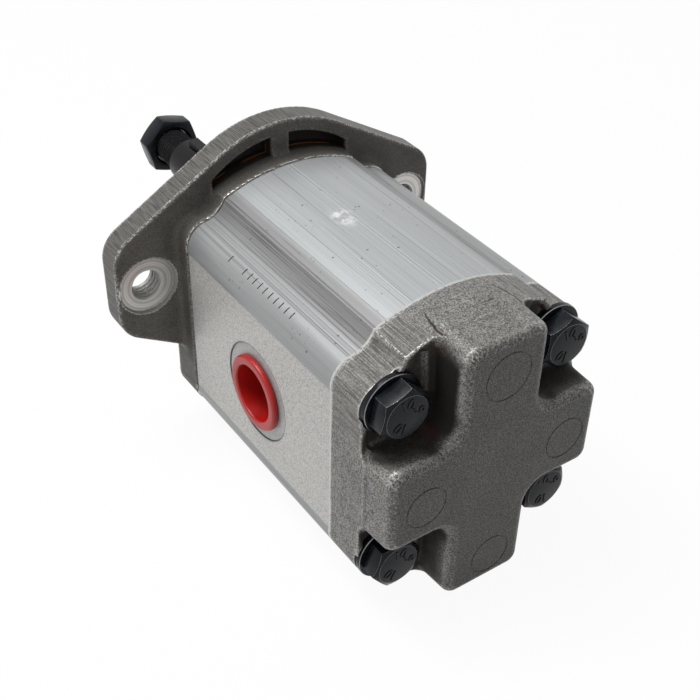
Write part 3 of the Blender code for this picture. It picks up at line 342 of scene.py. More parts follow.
def contour(solid: Solid, low: Sequence[float], high: Sequence[float], cell: float) -> tuple[Array, Array]:
    """Quad mesh of a field's zero level, with its creases kept sharp.

    Args:
        solid: The field.
        low, high: Corners of a box that holds the solid.
        cell: Size of the grid's cells.
    Returns:
        Vertex places and quads.
    """
    origin = np.array(low, float) - 1.5 * cell
    counts = np.ceil((np.array(high, float) + 1.5 * cell - origin) / cell).astype(int) + 1
    axes = [origin[i] + cell * np.arange(counts[i]) for i in range(3)]
    grid = solid.distance(axes[0][:, None, None], axes[1][None, :, None], axes[2][None, None, :])
    grid = np.broadcast_to(grid, counts)
    inside = grid < 0
    strides = np.array([(counts[1] - 1) * (counts[2] - 1), counts[2] - 1, 1])
    places, normals, quads = [], [], []
    for axis in range(3):
        index = np.argwhere(np.diff(inside, axis=axis))
        step = np.eye(3, dtype=int)[axis]
        first = grid[tuple(index.T)]
        last = grid[tuple((index + step).T)]
        low_t, high_t = np.zeros(len(index)), np.ones(len(index))
        base = origin + cell * index
        for _ in range(4):
            t = low_t + (high_t - low_t) * np.clip(first / (first - last), 0.02, 0.98)
            there = base + step * (cell * t)[:, None]
            value = solid.distance(*there.T)
            same = (value < 0) == (first < 0)
            low_t, first = np.where(same, t, low_t), np.where(same, value, first)
            high_t, last = np.where(same, high_t, t), np.where(same, last, value)
        across = [(axis + 1) % 3, (axis + 2) % 3]
        ids = []
        for u, v in ((-1, -1), (0, -1), (0, 0), (-1, 0)):
            cell_index = index.copy()
            cell_index[:, across[0]] += u
            cell_index[:, across[1]] += v
            ids.append(cell_index @ strides)
        four = np.stack(ids, 1)
        flip = ~inside[tuple(index.T)]
        four[flip] = four[flip][:, ::-1]
        quads.append(four)
        places.append(np.repeat(there, 4, 0))
        normals.append(np.repeat(gradient(solid, there, cell * 0.02), 4, 0))
    place, normal = np.concatenate(places), np.concatenate(normals)
    cells, which = np.unique(np.concatenate(quads).ravel(), return_inverse=True)
    count = np.bincount(which)
    middle = np.stack([np.bincount(which, place[:, i]) / count for i in range(3)], 1)
    reach = np.einsum("ij,ij->i", normal, place - middle[which])
    pull = np.stack([np.bincount(which, normal[:, i] * reach) for i in range(3)], 1)
    square = np.empty((len(cells), 3, 3))
    for i in range(3):
        for j in range(3):
            square[:, i, j] = np.bincount(which, normal[:, i] * normal[:, j])
    square += np.eye(3) * 0.05
    vertices = middle + np.linalg.solve(square, pull[:, :, None])[:, :, 0]
    corner = np.stack([cells // strides[0], cells % strides[0] // strides[1], cells % strides[1]], 1)
    floor = origin + cell * corner
    vertices = np.clip(vertices, floor - 0.05 * cell, floor + 1.05 * cell)
    return vertices, which.reshape(-1, 4)


# Meshes


def placed(name: str, data: bpy.types.ID | None) -> Object:
    """New object in the scene."""
    obj = bpy.data.objects.new(name, data)
    bpy.context.scene.collection.objects.link(obj)
    return obj


def smoothed(mesh: Mesh, sharp: float) -> Mesh:
    """Mesh shaded smooth, but for edges that turn by more than so many degrees."""
    mesh.shade_smooth()
    mesh.set_sharp_from_angle(angle=math.radians(sharp))
    return mesh


def shape_of(*meshes: Mesh) -> Shape:
    """Meshes as one shape."""
    shape = bmesh.new()
    for mesh in meshes:
        shape.from_mesh(mesh)
    return shape


def plain_mesh(shape: Shape) -> Mesh:
    """Mesh of a shape as it is; the shape is used up."""
    mesh = bpy.data.meshes.new("shape")
    shape.to_mesh(mesh)
    shape.free()
    return mesh


def mesh_of(shape: Shape, sharp: float = 32.0) -> Mesh:
    """Finished mesh of a shape: doubles merged, faces outwards, smooth but for its creases."""
    bmesh.ops.remove_doubles(shape, verts=shape.verts, dist=0.002 * MM)
    bmesh.ops.recalc_face_normals(shape, faces=shape.faces)
    return smoothed(plain_mesh(shape), sharp)


def lathe(profile: Sequence[Point], sides: int, closed: bool = False) -> Shape:
    """Profile turned about the Y axis.

    Args:
        profile: (radius, y) in order; an open one starts and ends on the axis.
        sides: Number of flats round the axis.
        closed: Whether the profile's last point joins its first.
    Returns:
        The turned shape.
    """
    shape = bmesh.new()
    angles = [2 * math.pi * i / sides for i in range(sides)]
    loops = []
    for radius, y in profile:
        on_axis = radius < ON_AXIS
        loops.append([shape.verts.new((0, y, 0))] if on_axis else [
            shape.verts.new((radius * math.cos(a), y, radius * math.sin(a))) for a in angles])
    for one, two in zip(loops, loops[1:] + ([loops[0]] if closed else [])):
        for i in range(sides):
            face = [one[i % len(one)], one[(i + 1) % len(one)], two[(i + 1) % len(two)], two[i % len(two)]]
            face = list(dict.fromkeys(face))
            if len(face) > 2:
                shape.faces.new(face)
    return shape


def loft(sections: Sequence[tuple[Outline, float]]) -> Shape:
    """Skin over outlines, with flat ends.

    Args:
        sections: Outlines of equal point counts, each with its Y.
    Returns:
        The closed shape.
    """
    shape = bmesh.new()
    loops = [[shape.verts.new((x, y, z)) for x, z in outline] for outline, y in sections]
    for lower, upper in zip(loops, loops[1:]):
        for i in range(len(lower)):
            shape.faces.new((lower[i - 1], lower[i], upper[i], upper[i - 1]))
    shape.faces.new(loops[0])
    shape.faces.new(loops[-1][::-1])
    return shape


def prism(outline: Outline, low: float, high: float) -> Shape:
    """Outline drawn along Y from low to high."""
    return loft([(outline, low), (outline, high)])


def cluster(shapes: Iterable[Shape]) -> Shape:
    """Several closed shapes as one."""
    return shape_of(*[plain_mesh(shape) for shape in shapes])


def moved(shape: Shape, by: Sequence[float], turn: float = 0.0, axis: str = "Z") -> Shape:
    """Shape turned about an axis through the origin, then moved."""
    matrix = Matrix.Translation(by) @ Matrix.Rotation(turn, 4, axis)
    bmesh.ops.transform(shape, matrix=matrix, verts=shape.verts)
    return shape


def evaluated_mesh(obj: Object) -> Mesh:
    """Plain mesh of an object with its modifiers applied; the object is removed."""
    bpy.context.view_layer.update()
    mesh = bpy.data.meshes.new_from_object(obj.evaluated_get(bpy.context.evaluated_depsgraph_get()))
    bpy.data.objects.remove(obj)
    return mesh


def carved(base: Mesh, *tools: tuple[str, Shape]) -> Mesh:
    """Mesh after exact Booleans.

    Args:
        base: The mesh to work on.
        tools: (operation, shape) in order.
    Returns:
        The finished mesh.
    """
    body = placed("work", base)
    helpers = [placed("tool", mesh_of(shape)) for _, shape in tools]
    for (operation, _), helper in zip(tools, helpers):
        modifier = body.modifiers.new("step", "BOOLEAN")
        modifier.operation, modifier.solver, modifier.object = operation, "EXACT", helper
    mesh = evaluated_mesh(body)
    for helper in helpers:
        bpy.data.objects.remove(helper)
    return smoothed(mesh, 32)


def bevelled(mesh: Mesh, width: float, segments: int = 2, angle: float = 40.0, worn: bool = False) -> Mesh:
    """Mesh with its sharp edges broken.

    Args:
        mesh: The mesh to finish.
        width: Width of the broken edge.
        segments: Facets across it.
        angle: Edges sharper than this many degrees are broken.
        worn: Whether the new facets are marked to take the trim finish.
    Returns:
        The finished mesh.
    """
    while len(mesh.materials) < 2:
        mesh.materials.append(None)
    obj = placed("work", mesh)
    modifier = obj.modifiers.new("edges", "BEVEL")
    modifier.width, modifier.segments = width, segments
    modifier.limit_method, modifier.angle_limit = "ANGLE", math.radians(angle)
    modifier.material = 1 if worn else -1
    return smoothed(evaluated_mesh(obj), 38)


def casting(solid: Solid, low: Sequence[float], high: Sequence[float], cell: float) -> Mesh:
    """Mesh of a casting's field.

    Args:
        solid: The field.
        low, high: Corners of a box that holds it.
        cell: Size of the grid's cells.
    Returns:
        The quad mesh.
    """
    vertices, quads = contour(solid, low, high, cell)
    mesh = bpy.data.meshes.new("casting")
    mesh.from_pydata(vertices.tolist(), [], quads.tolist())
    mesh.update()
    return mesh


def dress_casting(mesh: Mesh, solid: Solid, machined: Distance) -> None:
    """Give a casting's mesh its creases and the masks that its finish reads.

    Args:
        mesh: The finished mesh; it gets the attributes edge, cavity and machined at each vertex.
        solid: The casting's field, whose bend and nearby walls make the first two masks.
        machined: From 0 where a place is as cast to 1 where it was turned or milled bright; -1 takes painted
            shade.
    """
    places = np.empty(len(mesh.vertices) * 3)
    mesh.vertices.foreach_get("co", places)
    places = places.reshape(-1, 3)
    near, far = 0.7 * MM, 16.0 * MM
    bend = -6 * solid.distance(*places.T)
    for axis in range(3):
        for way in (-near, near):
            beside = places.copy()
            beside[:, axis] += way
            bend = bend + solid.distance(*beside.T)
    bend *= MM / near ** 2
    outside = places + gradient(solid, places, 0.2 * MM) * far
    shut = (far - solid.distance(*outside.T)) / far
    # The cavity mask measures how closed in a place is; the finish paints shade there along with grime.
    for key, values, lowest in (("edge", bend, 0), ("cavity", np.maximum(shut, -bend), 0),
                                ("machined", machined(*places.T), -1)):
        layer = mesh.attributes.new(key, "FLOAT", "POINT")
        layer.data.foreach_set("value", np.clip(values, lowest, 1).astype(np.float32))
    smoothed(mesh, 38)


def add_piece(name: str, mesh: Mesh, finish: Finish, body: str, slot: str, *nodes: str,
              trim: Finish | None = None) -> None:
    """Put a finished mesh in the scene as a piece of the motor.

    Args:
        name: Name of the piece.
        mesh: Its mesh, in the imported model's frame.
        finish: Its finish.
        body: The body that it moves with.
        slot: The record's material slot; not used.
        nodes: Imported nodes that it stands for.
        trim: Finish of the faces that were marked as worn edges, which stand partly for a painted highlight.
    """
    mesh.name = name
    marked = np.zeros(len(mesh.polygons), np.int32)
    mesh.polygons.foreach_get("material_index", marked)
    mesh.materials.clear()
    for used in [finish] + ([trim] if trim else []):
        mesh.materials.append(used.material())
    mesh.polygons.foreach_set("material_index", marked if trim else marked * 0)
    obj = placed(name, mesh)
    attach(obj, body)
    if nodes:
        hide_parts(*nodes)
    LOG.info("%s: %d faces, stands for %s", name, len(mesh.polygons), ", ".join(nodes) or "no node")


# Node trees


def give_inputs(tree: bpy.types.NodeTree, inputs: dict[str, object]) -> Outputs:
    """Give a tree its named inputs.

    Args:
        tree: The tree.
        inputs: Default of each input: a whole number, a number, a vector, or None for an object.
    Returns:
        The sockets that bring them into the tree.
    """
    kinds = {int: "Int", float: "Float", tuple: "Vector", type(None): "Object"}
    for key, value in inputs.items():
        kind = "NodeSocket" + kinds[type(value)]
        socket = tree.interface.new_socket(key, in_out="INPUT", socket_type=kind)
        if value is not None:
            socket.default_value = value
    return tree.nodes.new("NodeGroupInput").outputs


class Graph:
    """Adds nodes to a tree in few words."""

    prefix = "ShaderNode"

    def __init__(self, tree: bpy.types.NodeTree) -> None:
        """Work on one tree."""
        self.tree = tree

    def feed(self, node: Node, links: Links) -> None:
        """Feed a node's inputs: a socket is linked, and a plain value is set on the input itself."""
        for key, value in links.items():
            if isinstance(value, Socket):
                self.tree.links.new(value, node.inputs[key])
            else:
                node.inputs[key].default_value = value

    def add(self, kind: str, links: Links | None = None, **settings: object) -> Node:
        """Add a node.

        Args:
            kind: The node's type, without the prefix of this kind of tree.
            links: What feeds each input.
            settings: The node's own settings.
        Returns:
            The node.
        """
        prefix = "" if kind.startswith(("Shader", "Function")) else self.prefix
        node = self.tree.nodes.new(prefix + kind)
        for key, value in settings.items():
            setattr(node, key, value)
        self.feed(node, links or {})
        return node

    def first(self, kind: str, links: Links | None = None, **settings: object) -> Socket:
        """First output of a new node."""
        return self.add(kind, links, **settings).outputs[0]

    def math(self, operation: str, a: object, b: object = 0.0) -> Socket:
        """Result of one Math node."""
        return self.first("ShaderNodeMath", {0: a, 1: b}, operation=operation)

    def times(self, *values: object) -> Socket:
        """Product of the values."""
        return reduce(lambda a, b: self.math("MULTIPLY", a, b), values)

    def most(self, *values: object) -> Socket:
        """Largest of the values."""
        return reduce(lambda a, b: self.math("MAXIMUM", a, b), values)

    def gap(self, a: object, b: object) -> Socket:
        """How far apart two numbers are."""
        return self.math("ABSOLUTE", self.math("SUBTRACT", a, b))

    def vector(self, operation: str, a: object, b: object = (0.0, 0.0, 0.0)) -> Outputs:
        """Outputs of one Vector Math node: the vector, then the number."""
        return self.add("ShaderNodeVectorMath", {0: a, 1: b}, operation=operation).outputs

    def scaled(self, colour: object, by: object) -> Socket:
        """Colour times a number."""
        return self.first("VectorMath", {0: colour, "Scale": by}, operation="SCALE")

    def blend(self, share: object, a: object, b: object) -> Socket:
        """Colour mixed from a to b."""
        under, over = ((*c, 1.0) if isinstance(c, tuple) else c for c in (a, b))
        return self.add("Mix", {0: share, 6: under, 7: over}, data_type="RGBA").outputs[2]

    def coats(self, colour: object, *layers: tuple[object, object]) -> Socket:
        """Colour under coats of other colours, each given with its share."""
        for share, coat in layers:
            colour = self.blend(share, colour, coat)
        return colour

    def between(self, share: object, a: object, b: object) -> Socket:
        """Number mixed from a to b."""
        return self.first("Mix", {0: share, 2: a, 3: b}, data_type="FLOAT")

    def ease(self, value: object, low: float, high: float, to_low: float = 0.0, to_high: float = 1.0
             ) -> Socket:
        """Value taken smoothly from one range to another and held at its ends."""
        return self.first("MapRange", {0: value, 1: low, 2: high, 3: to_low, 4: to_high},
                          interpolation_type="SMOOTHSTEP")

    def fall(self, value: object, low: float, high: float) -> Socket:
        """1 below low, smoothly down to 0 above high."""
        return self.ease(value, low, high, 1.0, 0.0)

    def place(self, scale: object = (1.0, 1.0, 1.0)) -> Socket:
        """Object coordinates, stretched."""
        return self.vector("MULTIPLY", self.add("TexCoord").outputs["Object"], scale)[0]

    def axis(self, number: int) -> Socket:
        """Object coordinate along one axis."""
        return self.add("SeparateXYZ", {0: self.place()}).outputs[number]

    def mask(self, name: str) -> Socket:
        """One of the masks that a casting's mesh carries."""
        return self.add("Attribute", attribute_name=name).outputs["Fac"]

    def noise(self, scale: object, detail: float = 2.0, roughness: float = 0.5, place: Socket | None = None
              ) -> Socket:
        """Value of a noise texture, on Object coordinates unless a place is given."""
        return self.first("TexNoise", {"Vector": place or self.place(), "Scale": scale, "Detail": detail,
                                       "Roughness": roughness})


class Tree(Graph):
    """A geometry node tree with named inputs that ends in Realize Instances and Set Material."""

    prefix = "GeometryNode"

    def __init__(self, name: str, **inputs: object) -> None:
        """Make the tree with its named inputs, and one for the finish."""
        super().__init__(bpy.data.node_groups.new(name, "GeometryNodeTree"))
        sockets = self.tree.interface
        sockets.new_socket("Geometry", in_out="OUTPUT", socket_type="NodeSocketGeometry")
        sockets.new_socket("Finish", in_out="INPUT", socket_type="NodeSocketMaterial")
        self.inputs = give_inputs(self.tree, inputs)

    def copies(self, points: Socket, **links: Socket) -> Socket:
        """Copies of the object that Shape names, one at each point."""
        shape = self.add("ObjectInfo", {"Object": self.inputs["Shape"]}).outputs["Geometry"]
        return self.first("InstanceOnPoints", {"Points": points, "Instance": shape, **links})

    def end(self, geometry: Socket) -> "Tree":
        """Close the tree with Realize Instances and Set Material."""
        real = self.first("RealizeInstances", {0: geometry})
        painted = self.first("SetMaterial", {"Geometry": real, "Material": self.inputs["Finish"]})
        self.feed(self.tree.nodes.new("NodeGroupOutput"), {0: painted})
        return self

    def run(self, finish: Finish, **values: object) -> Mesh:
        """Build the tree's mesh.

        Args:
            finish: The finish that Set Material gives.
            values: Value of each named input.
        Returns:
            A plain mesh.
        """
        host = placed("work", bpy.data.meshes.new("work"))
        modifier = host.modifiers.new("build", "NODES")
        modifier.node_group = self.tree
        wanted = {**values, "Finish": finish.material()}
        for item in self.tree.interface.items_tree:
            if item.in_out == "INPUT" and item.name in wanted:
                modifier[item.identifier] = wanted[item.name]
        return evaluated_mesh(host)

    def repeat(self, shape: Mesh, finish: Finish, **values: object) -> Mesh:
        """Build the tree's mesh as run does, from the mesh that it repeats."""
        pattern = placed("pattern", shape)
        mesh = self.run(finish, Shape=pattern, **values)
        bpy.data.objects.remove(pattern)
        return mesh


def polar_tree() -> Tree:
    """Tree that sets copies of a shape round the Y axis."""
    tree = Tree("polar copies", Shape=None, Count=6, Weld=0.0)
    count = tree.inputs["Count"]
    line = tree.first("MeshLine", {"Count": count, "Offset": (0, 0, 0)})
    angle = tree.times(tree.first("InputIndex"), tree.math("DIVIDE", math.tau, count))
    copies = tree.copies(line, Rotation=tree.first("ShaderNodeCombineXYZ", {"Y": angle}))
    real = tree.first("RealizeInstances", {0: copies})
    return tree.end(tree.first("MergeByDistance", {"Geometry": real, "Distance": tree.inputs["Weld"]}))


def row_tree() -> Tree:
    """Tree that sets copies of a shape in a row, each a little off its place."""
    nowhere = (0.0, 0.0, 0.0)
    tree = Tree("row of copies", Shape=None, Count=10, Start=nowhere, Step=nowhere, Scatter=nowhere)
    count, start, step, scatter = (tree.inputs[key] for key in ("Count", "Start", "Step", "Scatter"))
    line = tree.first("MeshLine", {"Count": count, "Start Location": start, "Offset": step})
    least = tree.vector("MULTIPLY", scatter, (-1, -1, -1))[0]
    stray = tree.first("FunctionNodeRandomValue", {0: least, 1: scatter, "Seed": 4},
                       data_type="FLOAT_VECTOR")
    return tree.end(tree.copies(tree.first("SetPosition", {"Geometry": line, "Offset": stray})))


def helix_tree() -> Tree:
    """Tree that sweeps a thread's ridge along a helix about the Y axis."""
    tree = Tree("thread ridge", Radius=0.005, Pitch=0.001, Turns=5.0, Start=0.0, Ridge=0.0005)
    radius, pitch, turns, start, ridge = (tree.inputs[key] for key in
                                          ("Radius", "Pitch", "Turns", "Start", "Ridge"))
    spiral = tree.first("CurveSpiral", {"Resolution": 48, "Rotations": turns, "Start Radius": radius,
                                        "End Radius": radius, "Height": tree.times(pitch, turns)})
    upright = tree.first("SetCurveNormal", {"Curve": spiral}, mode="Z_UP")
    profile = tree.first("CurvePrimitiveCircle", {"Resolution": 4, "Radius": ridge})
    swept = tree.first("CurveToMesh", {"Curve": upright, "Profile Curve": profile, "Fill Caps": True})
    shift = tree.first("ShaderNodeCombineXYZ", {"Y": start})
    return tree.end(tree.first("Transform", {"Geometry": swept, "Translation": shift,
                                             "Rotation": (-math.pi / 2, 0, 0)}))


class Effect:
    """A shader node group that several finishes share, built when it is first placed."""

    def __init__(self, name: str, wire: Callable[[Graph, Outputs], Wires], **inputs: object) -> None:
        """Describe the group.

        Args:
            name: Name of the group.
            wire: Adds the nodes, from the graph and the group's inputs, and returns what feeds each output.
            inputs: Default of each named input.
        """
        self.name, self.wire, self.inputs = name, wire, inputs
        self.tree: bpy.types.NodeTree | None = None

    def on(self, graph: Graph, **values: object) -> Outputs:
        """Place the group in a material.

        Args:
            graph: The material's nodes.
            values: Value of each named input.
        Returns:
            The group's outputs.
        """
        if self.tree is None:
            self.tree = bpy.data.node_groups.new(self.name, "ShaderNodeTree")
            inner = Graph(self.tree)
            made = self.wire(inner, give_inputs(self.tree, self.inputs))
            for key in made:
                self.tree.interface.new_socket(key, in_out="OUTPUT", socket_type="NodeSocketFloat")
            inner.feed(self.tree.nodes.new("NodeGroupOutput"), made)
        return graph.add("Group", values, node_tree=self.tree).outputs


def wire_grain(g: Graph, given: Outputs) -> Wires:
    """Cast grain: fine pimples, bright flecks and soft blotches."""
    scale = given["Scale"]
    fine, coarse = g.noise(scale, 3.0, 0.6), g.noise(g.times(scale, 0.35))
    return {"Height": g.math("ADD", g.times(fine, 0.95), g.times(coarse, 0.25)),
            "Fleck": g.ease(g.noise(g.times(scale, 1.7), 1.0, 0.4), 0.62, 0.75),
            "Blotch": g.ease(g.noise(g.times(scale, 0.04), 3.0, 0.6), 0.3, 0.7)}


def wire_wear_and_shade(g: Graph, given: Outputs) -> Wires:
    """Edge wear, partly a painted highlight, and grime mixed with painted shade where the casting's own masks
    find corners and walls.
    """
    worn = g.times(g.ease(g.mask("edge"), 0.08, 0.65), g.ease(g.noise(1500.0, 3.0, 0.7), 0.44, 0.62))
    uneven = g.ease(g.noise(90.0, 3.0, 0.6), 0.3, 0.65, 0.85, 1.0)
    return {"Worn": g.times(worn, given["Wear"]),
            "Dirt": g.times(g.ease(g.mask("cavity"), 0.1, 0.55), uneven)}


def wire_lines(g: Graph, given: Outputs) -> Wires:
    """Fine parallel lines along one direction, as dies and milling cutters leave."""
    here, scale = g.place(given["Stretch"]), given["Scale"]
    fine = g.noise(scale, 3.0, 0.65, here)
    broad = g.noise(g.times(scale, 0.14), place=here)
    return {"Height": fine, "Tone": g.math("ADD", g.times(fine, 0.75), g.times(broad, 0.25)),
            "Scratch": g.ease(g.noise(g.times(scale, 0.55), 1.0, 0.4, here), 0.64, 0.72)}


def wire_rings(g: Graph, given: Outputs) -> Wires:
    """Turning marks: fine rings about axes that run along Y, the same on both sides of X = 0."""
    rel = g.vector("SUBTRACT", g.vector("ABSOLUTE", g.place())[0], given["Centre"])[0]
    radius = g.vector("LENGTH", g.vector("MULTIPLY", rel, (1, 0, 1))[0])[1]
    return {"Height": g.noise(given["Scale"], 2.0, 0.6, g.first("CombineXYZ", {0: radius, 1: g.axis(1)}))}


def wire_pits(g: Graph, given: Outputs) -> Wires:
    """Small dark pits and handling marks scattered over a surface."""
    cells = g.add("TexVoronoi", {"Vector": g.place(), "Scale": given["Scale"], "Randomness": 1.0}).outputs
    chance = g.first("SeparateXYZ", {0: cells["Color"]})
    above = g.math("SUBTRACT", chance, given["Rarity"])
    size = g.math("DIVIDE", g.times(above, 0.38), g.math("SUBTRACT", 1.0, given["Rarity"]))
    return {"Pit": g.ease(g.math("SUBTRACT", size, cells["Distance"]), 0.0, 0.05)}


GRAIN = Effect("cast grain", wire_grain, Scale=1800.0)
WEAR_AND_SHADE = Effect("edge wear and shade", wire_wear_and_shade, Wear=1.0)
LINES = Effect("parallel lines", wire_lines, Scale=2500.0, Stretch=(1.0, 0.01, 1.0))
RINGS = Effect("turned rings", wire_rings, Scale=4000.0, Centre=(0.0, 0.0, 0.0))
PITS = Effect("pits", wire_pits, Scale=700.0, Rarity=0.85)


class Surface(Graph):
    """The nodes of one material round its Principled shader."""

    def __init__(self, name: str) -> None:
        """Start the material."""
        self.material = bpy.data.materials.new(name)
        self.material.use_nodes = True
        super().__init__(self.material.node_tree)

    def end(self, height: Socket, depth: float, colour: Socket, **inputs: object) -> Material:
        """Feed the shader.

        Args:
            height: The relief, which a Bump node takes.
            depth: Depth of the relief.
            colour: The base colour.
            inputs: What feeds the shader's other inputs, with _ for a space.
        Returns:
            The finished material.
        """
        relief = self.first("Bump", {"Strength": 1.0, "Distance": depth, "Height": height})
        named = {key.replace("_", " "): value for key, value in inputs.items()}
        self.feed(self.tree.nodes["Principled BSDF"], {"Base Color": colour, "Normal": relief, **named})
        return self.material


# The motor's shared sizes


@dataclass(frozen=True)
class Layout:
    """Sizes and places that several pieces share."""

    middle: float = -15.87 * MM
    half_width: float = 40.6 * MM
    half_height: float = 50.1 * MM
    crown_radius: float = 61.2 * MM
    crown_edge: float = 26.0 * MM
    lobe_radius: float = 8.6 * MM
    lobe_bulge: float = 0.12 * MM
    lobe_x: float = 32.0 * MM
    lobe_z: float = 29.8 * MM
    lobe_sweep: float = 75.0
    valley_sag: float = 1.5 * MM
    bolt_x: float = 30.2 * MM
    bolt_z: float = 30.2 * MM
    bolt_hole: float = 5.3 * MM
    dowel_x: float = 32.11 * MM
    dowel_hole: float = 3.3 * MM
    dowel_reach: float = 7.3 * MM
    cover_depth: float = 29.2 * MM
    body_rear: float = 29.5 * MM
    body_front: float = 115.3 * MM
    flange_rear: float = 115.6 * MM
    chamber_radius: float = 18.765 * MM
    seal_radius: float = 22.665 * MM
    seal_width: float = 2.6 * MM
    seal_groove: float = 2.2 * MM
    port_y: float = 72.4 * MM
    port_z: float = -17.87 * MM
    port_radius: float = 11.1 * MM

    def outline(self, grow: float = 0.0, fine: int = 3) -> Outline:
        """Outline of the extruded body about its middle, set off outwards.

        Args:
            grow: How far outwards.
            fine: How finely its arcs are cut.
        Returns:
            The closed outline, anticlockwise.
        """
        radius = self.lobe_radius + self.lobe_bulge + grow
        low = -math.degrees(math.acos((self.half_width + grow - self.lobe_x) / radius))
        lobe = arc(self.lobe_x, self.lobe_z, radius, low, self.lobe_sweep, 5 * fine)
        crown_radius = self.crown_radius + grow
        edge = math.degrees(math.asin(self.crown_edge / crown_radius))
        crown = arc(0, self.half_height - self.crown_radius, crown_radius, 90 - edge, 90, 6 * fine)
        valley = bowed(lobe[-1], crown[0], self.valley_sag, 4 * fine)[1:-1]
        quarter = lobe + valley + crown
        top = quarter + [(-x, z) for x, z in quarter[-2::-1]]
        return top + [(-x, -z) for x, z in top]

    def track(self, radius: float, steps: int = 24) -> Outline:
        """Racetrack outline round both gear axes, about the body's middle."""
        upper = arc(0, -self.middle, radius, 0, 180, steps)
        return upper + [(-x, -z) for x, z in upper]

    def twin(self, radius: float, steps: int = 60) -> Outline:
        """Figure-eight outline of two overlapping circles on the gear axes, about the body's middle."""
        dip = math.degrees(math.asin(-self.middle / radius))
        upper = arc(0, -self.middle, radius, -dip, 180 + dip, steps)
        return upper[:-1] + [(-x, -z) for x, z in upper[:-1]]

    def seal_ring(self) -> Section:
        """Section of the groove for the seal between two castings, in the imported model's frame."""
        return banded(shifted(polygon(self.track(self.seal_radius)), self.middle), self.seal_width / 2)

    def bolt_spots(self) -> Outline:
        """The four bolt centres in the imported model's frame."""
        return [(x, self.middle + z) for x in (-self.bolt_x, self.bolt_x)
                for z in (self.bolt_z, -self.bolt_z)]

    def dowel_spots(self) -> Outline:
        """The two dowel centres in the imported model's frame."""
        return [(-self.dowel_x, self.middle), (self.dowel_x, self.middle)]


LAYOUT = Layout()


# The finishes


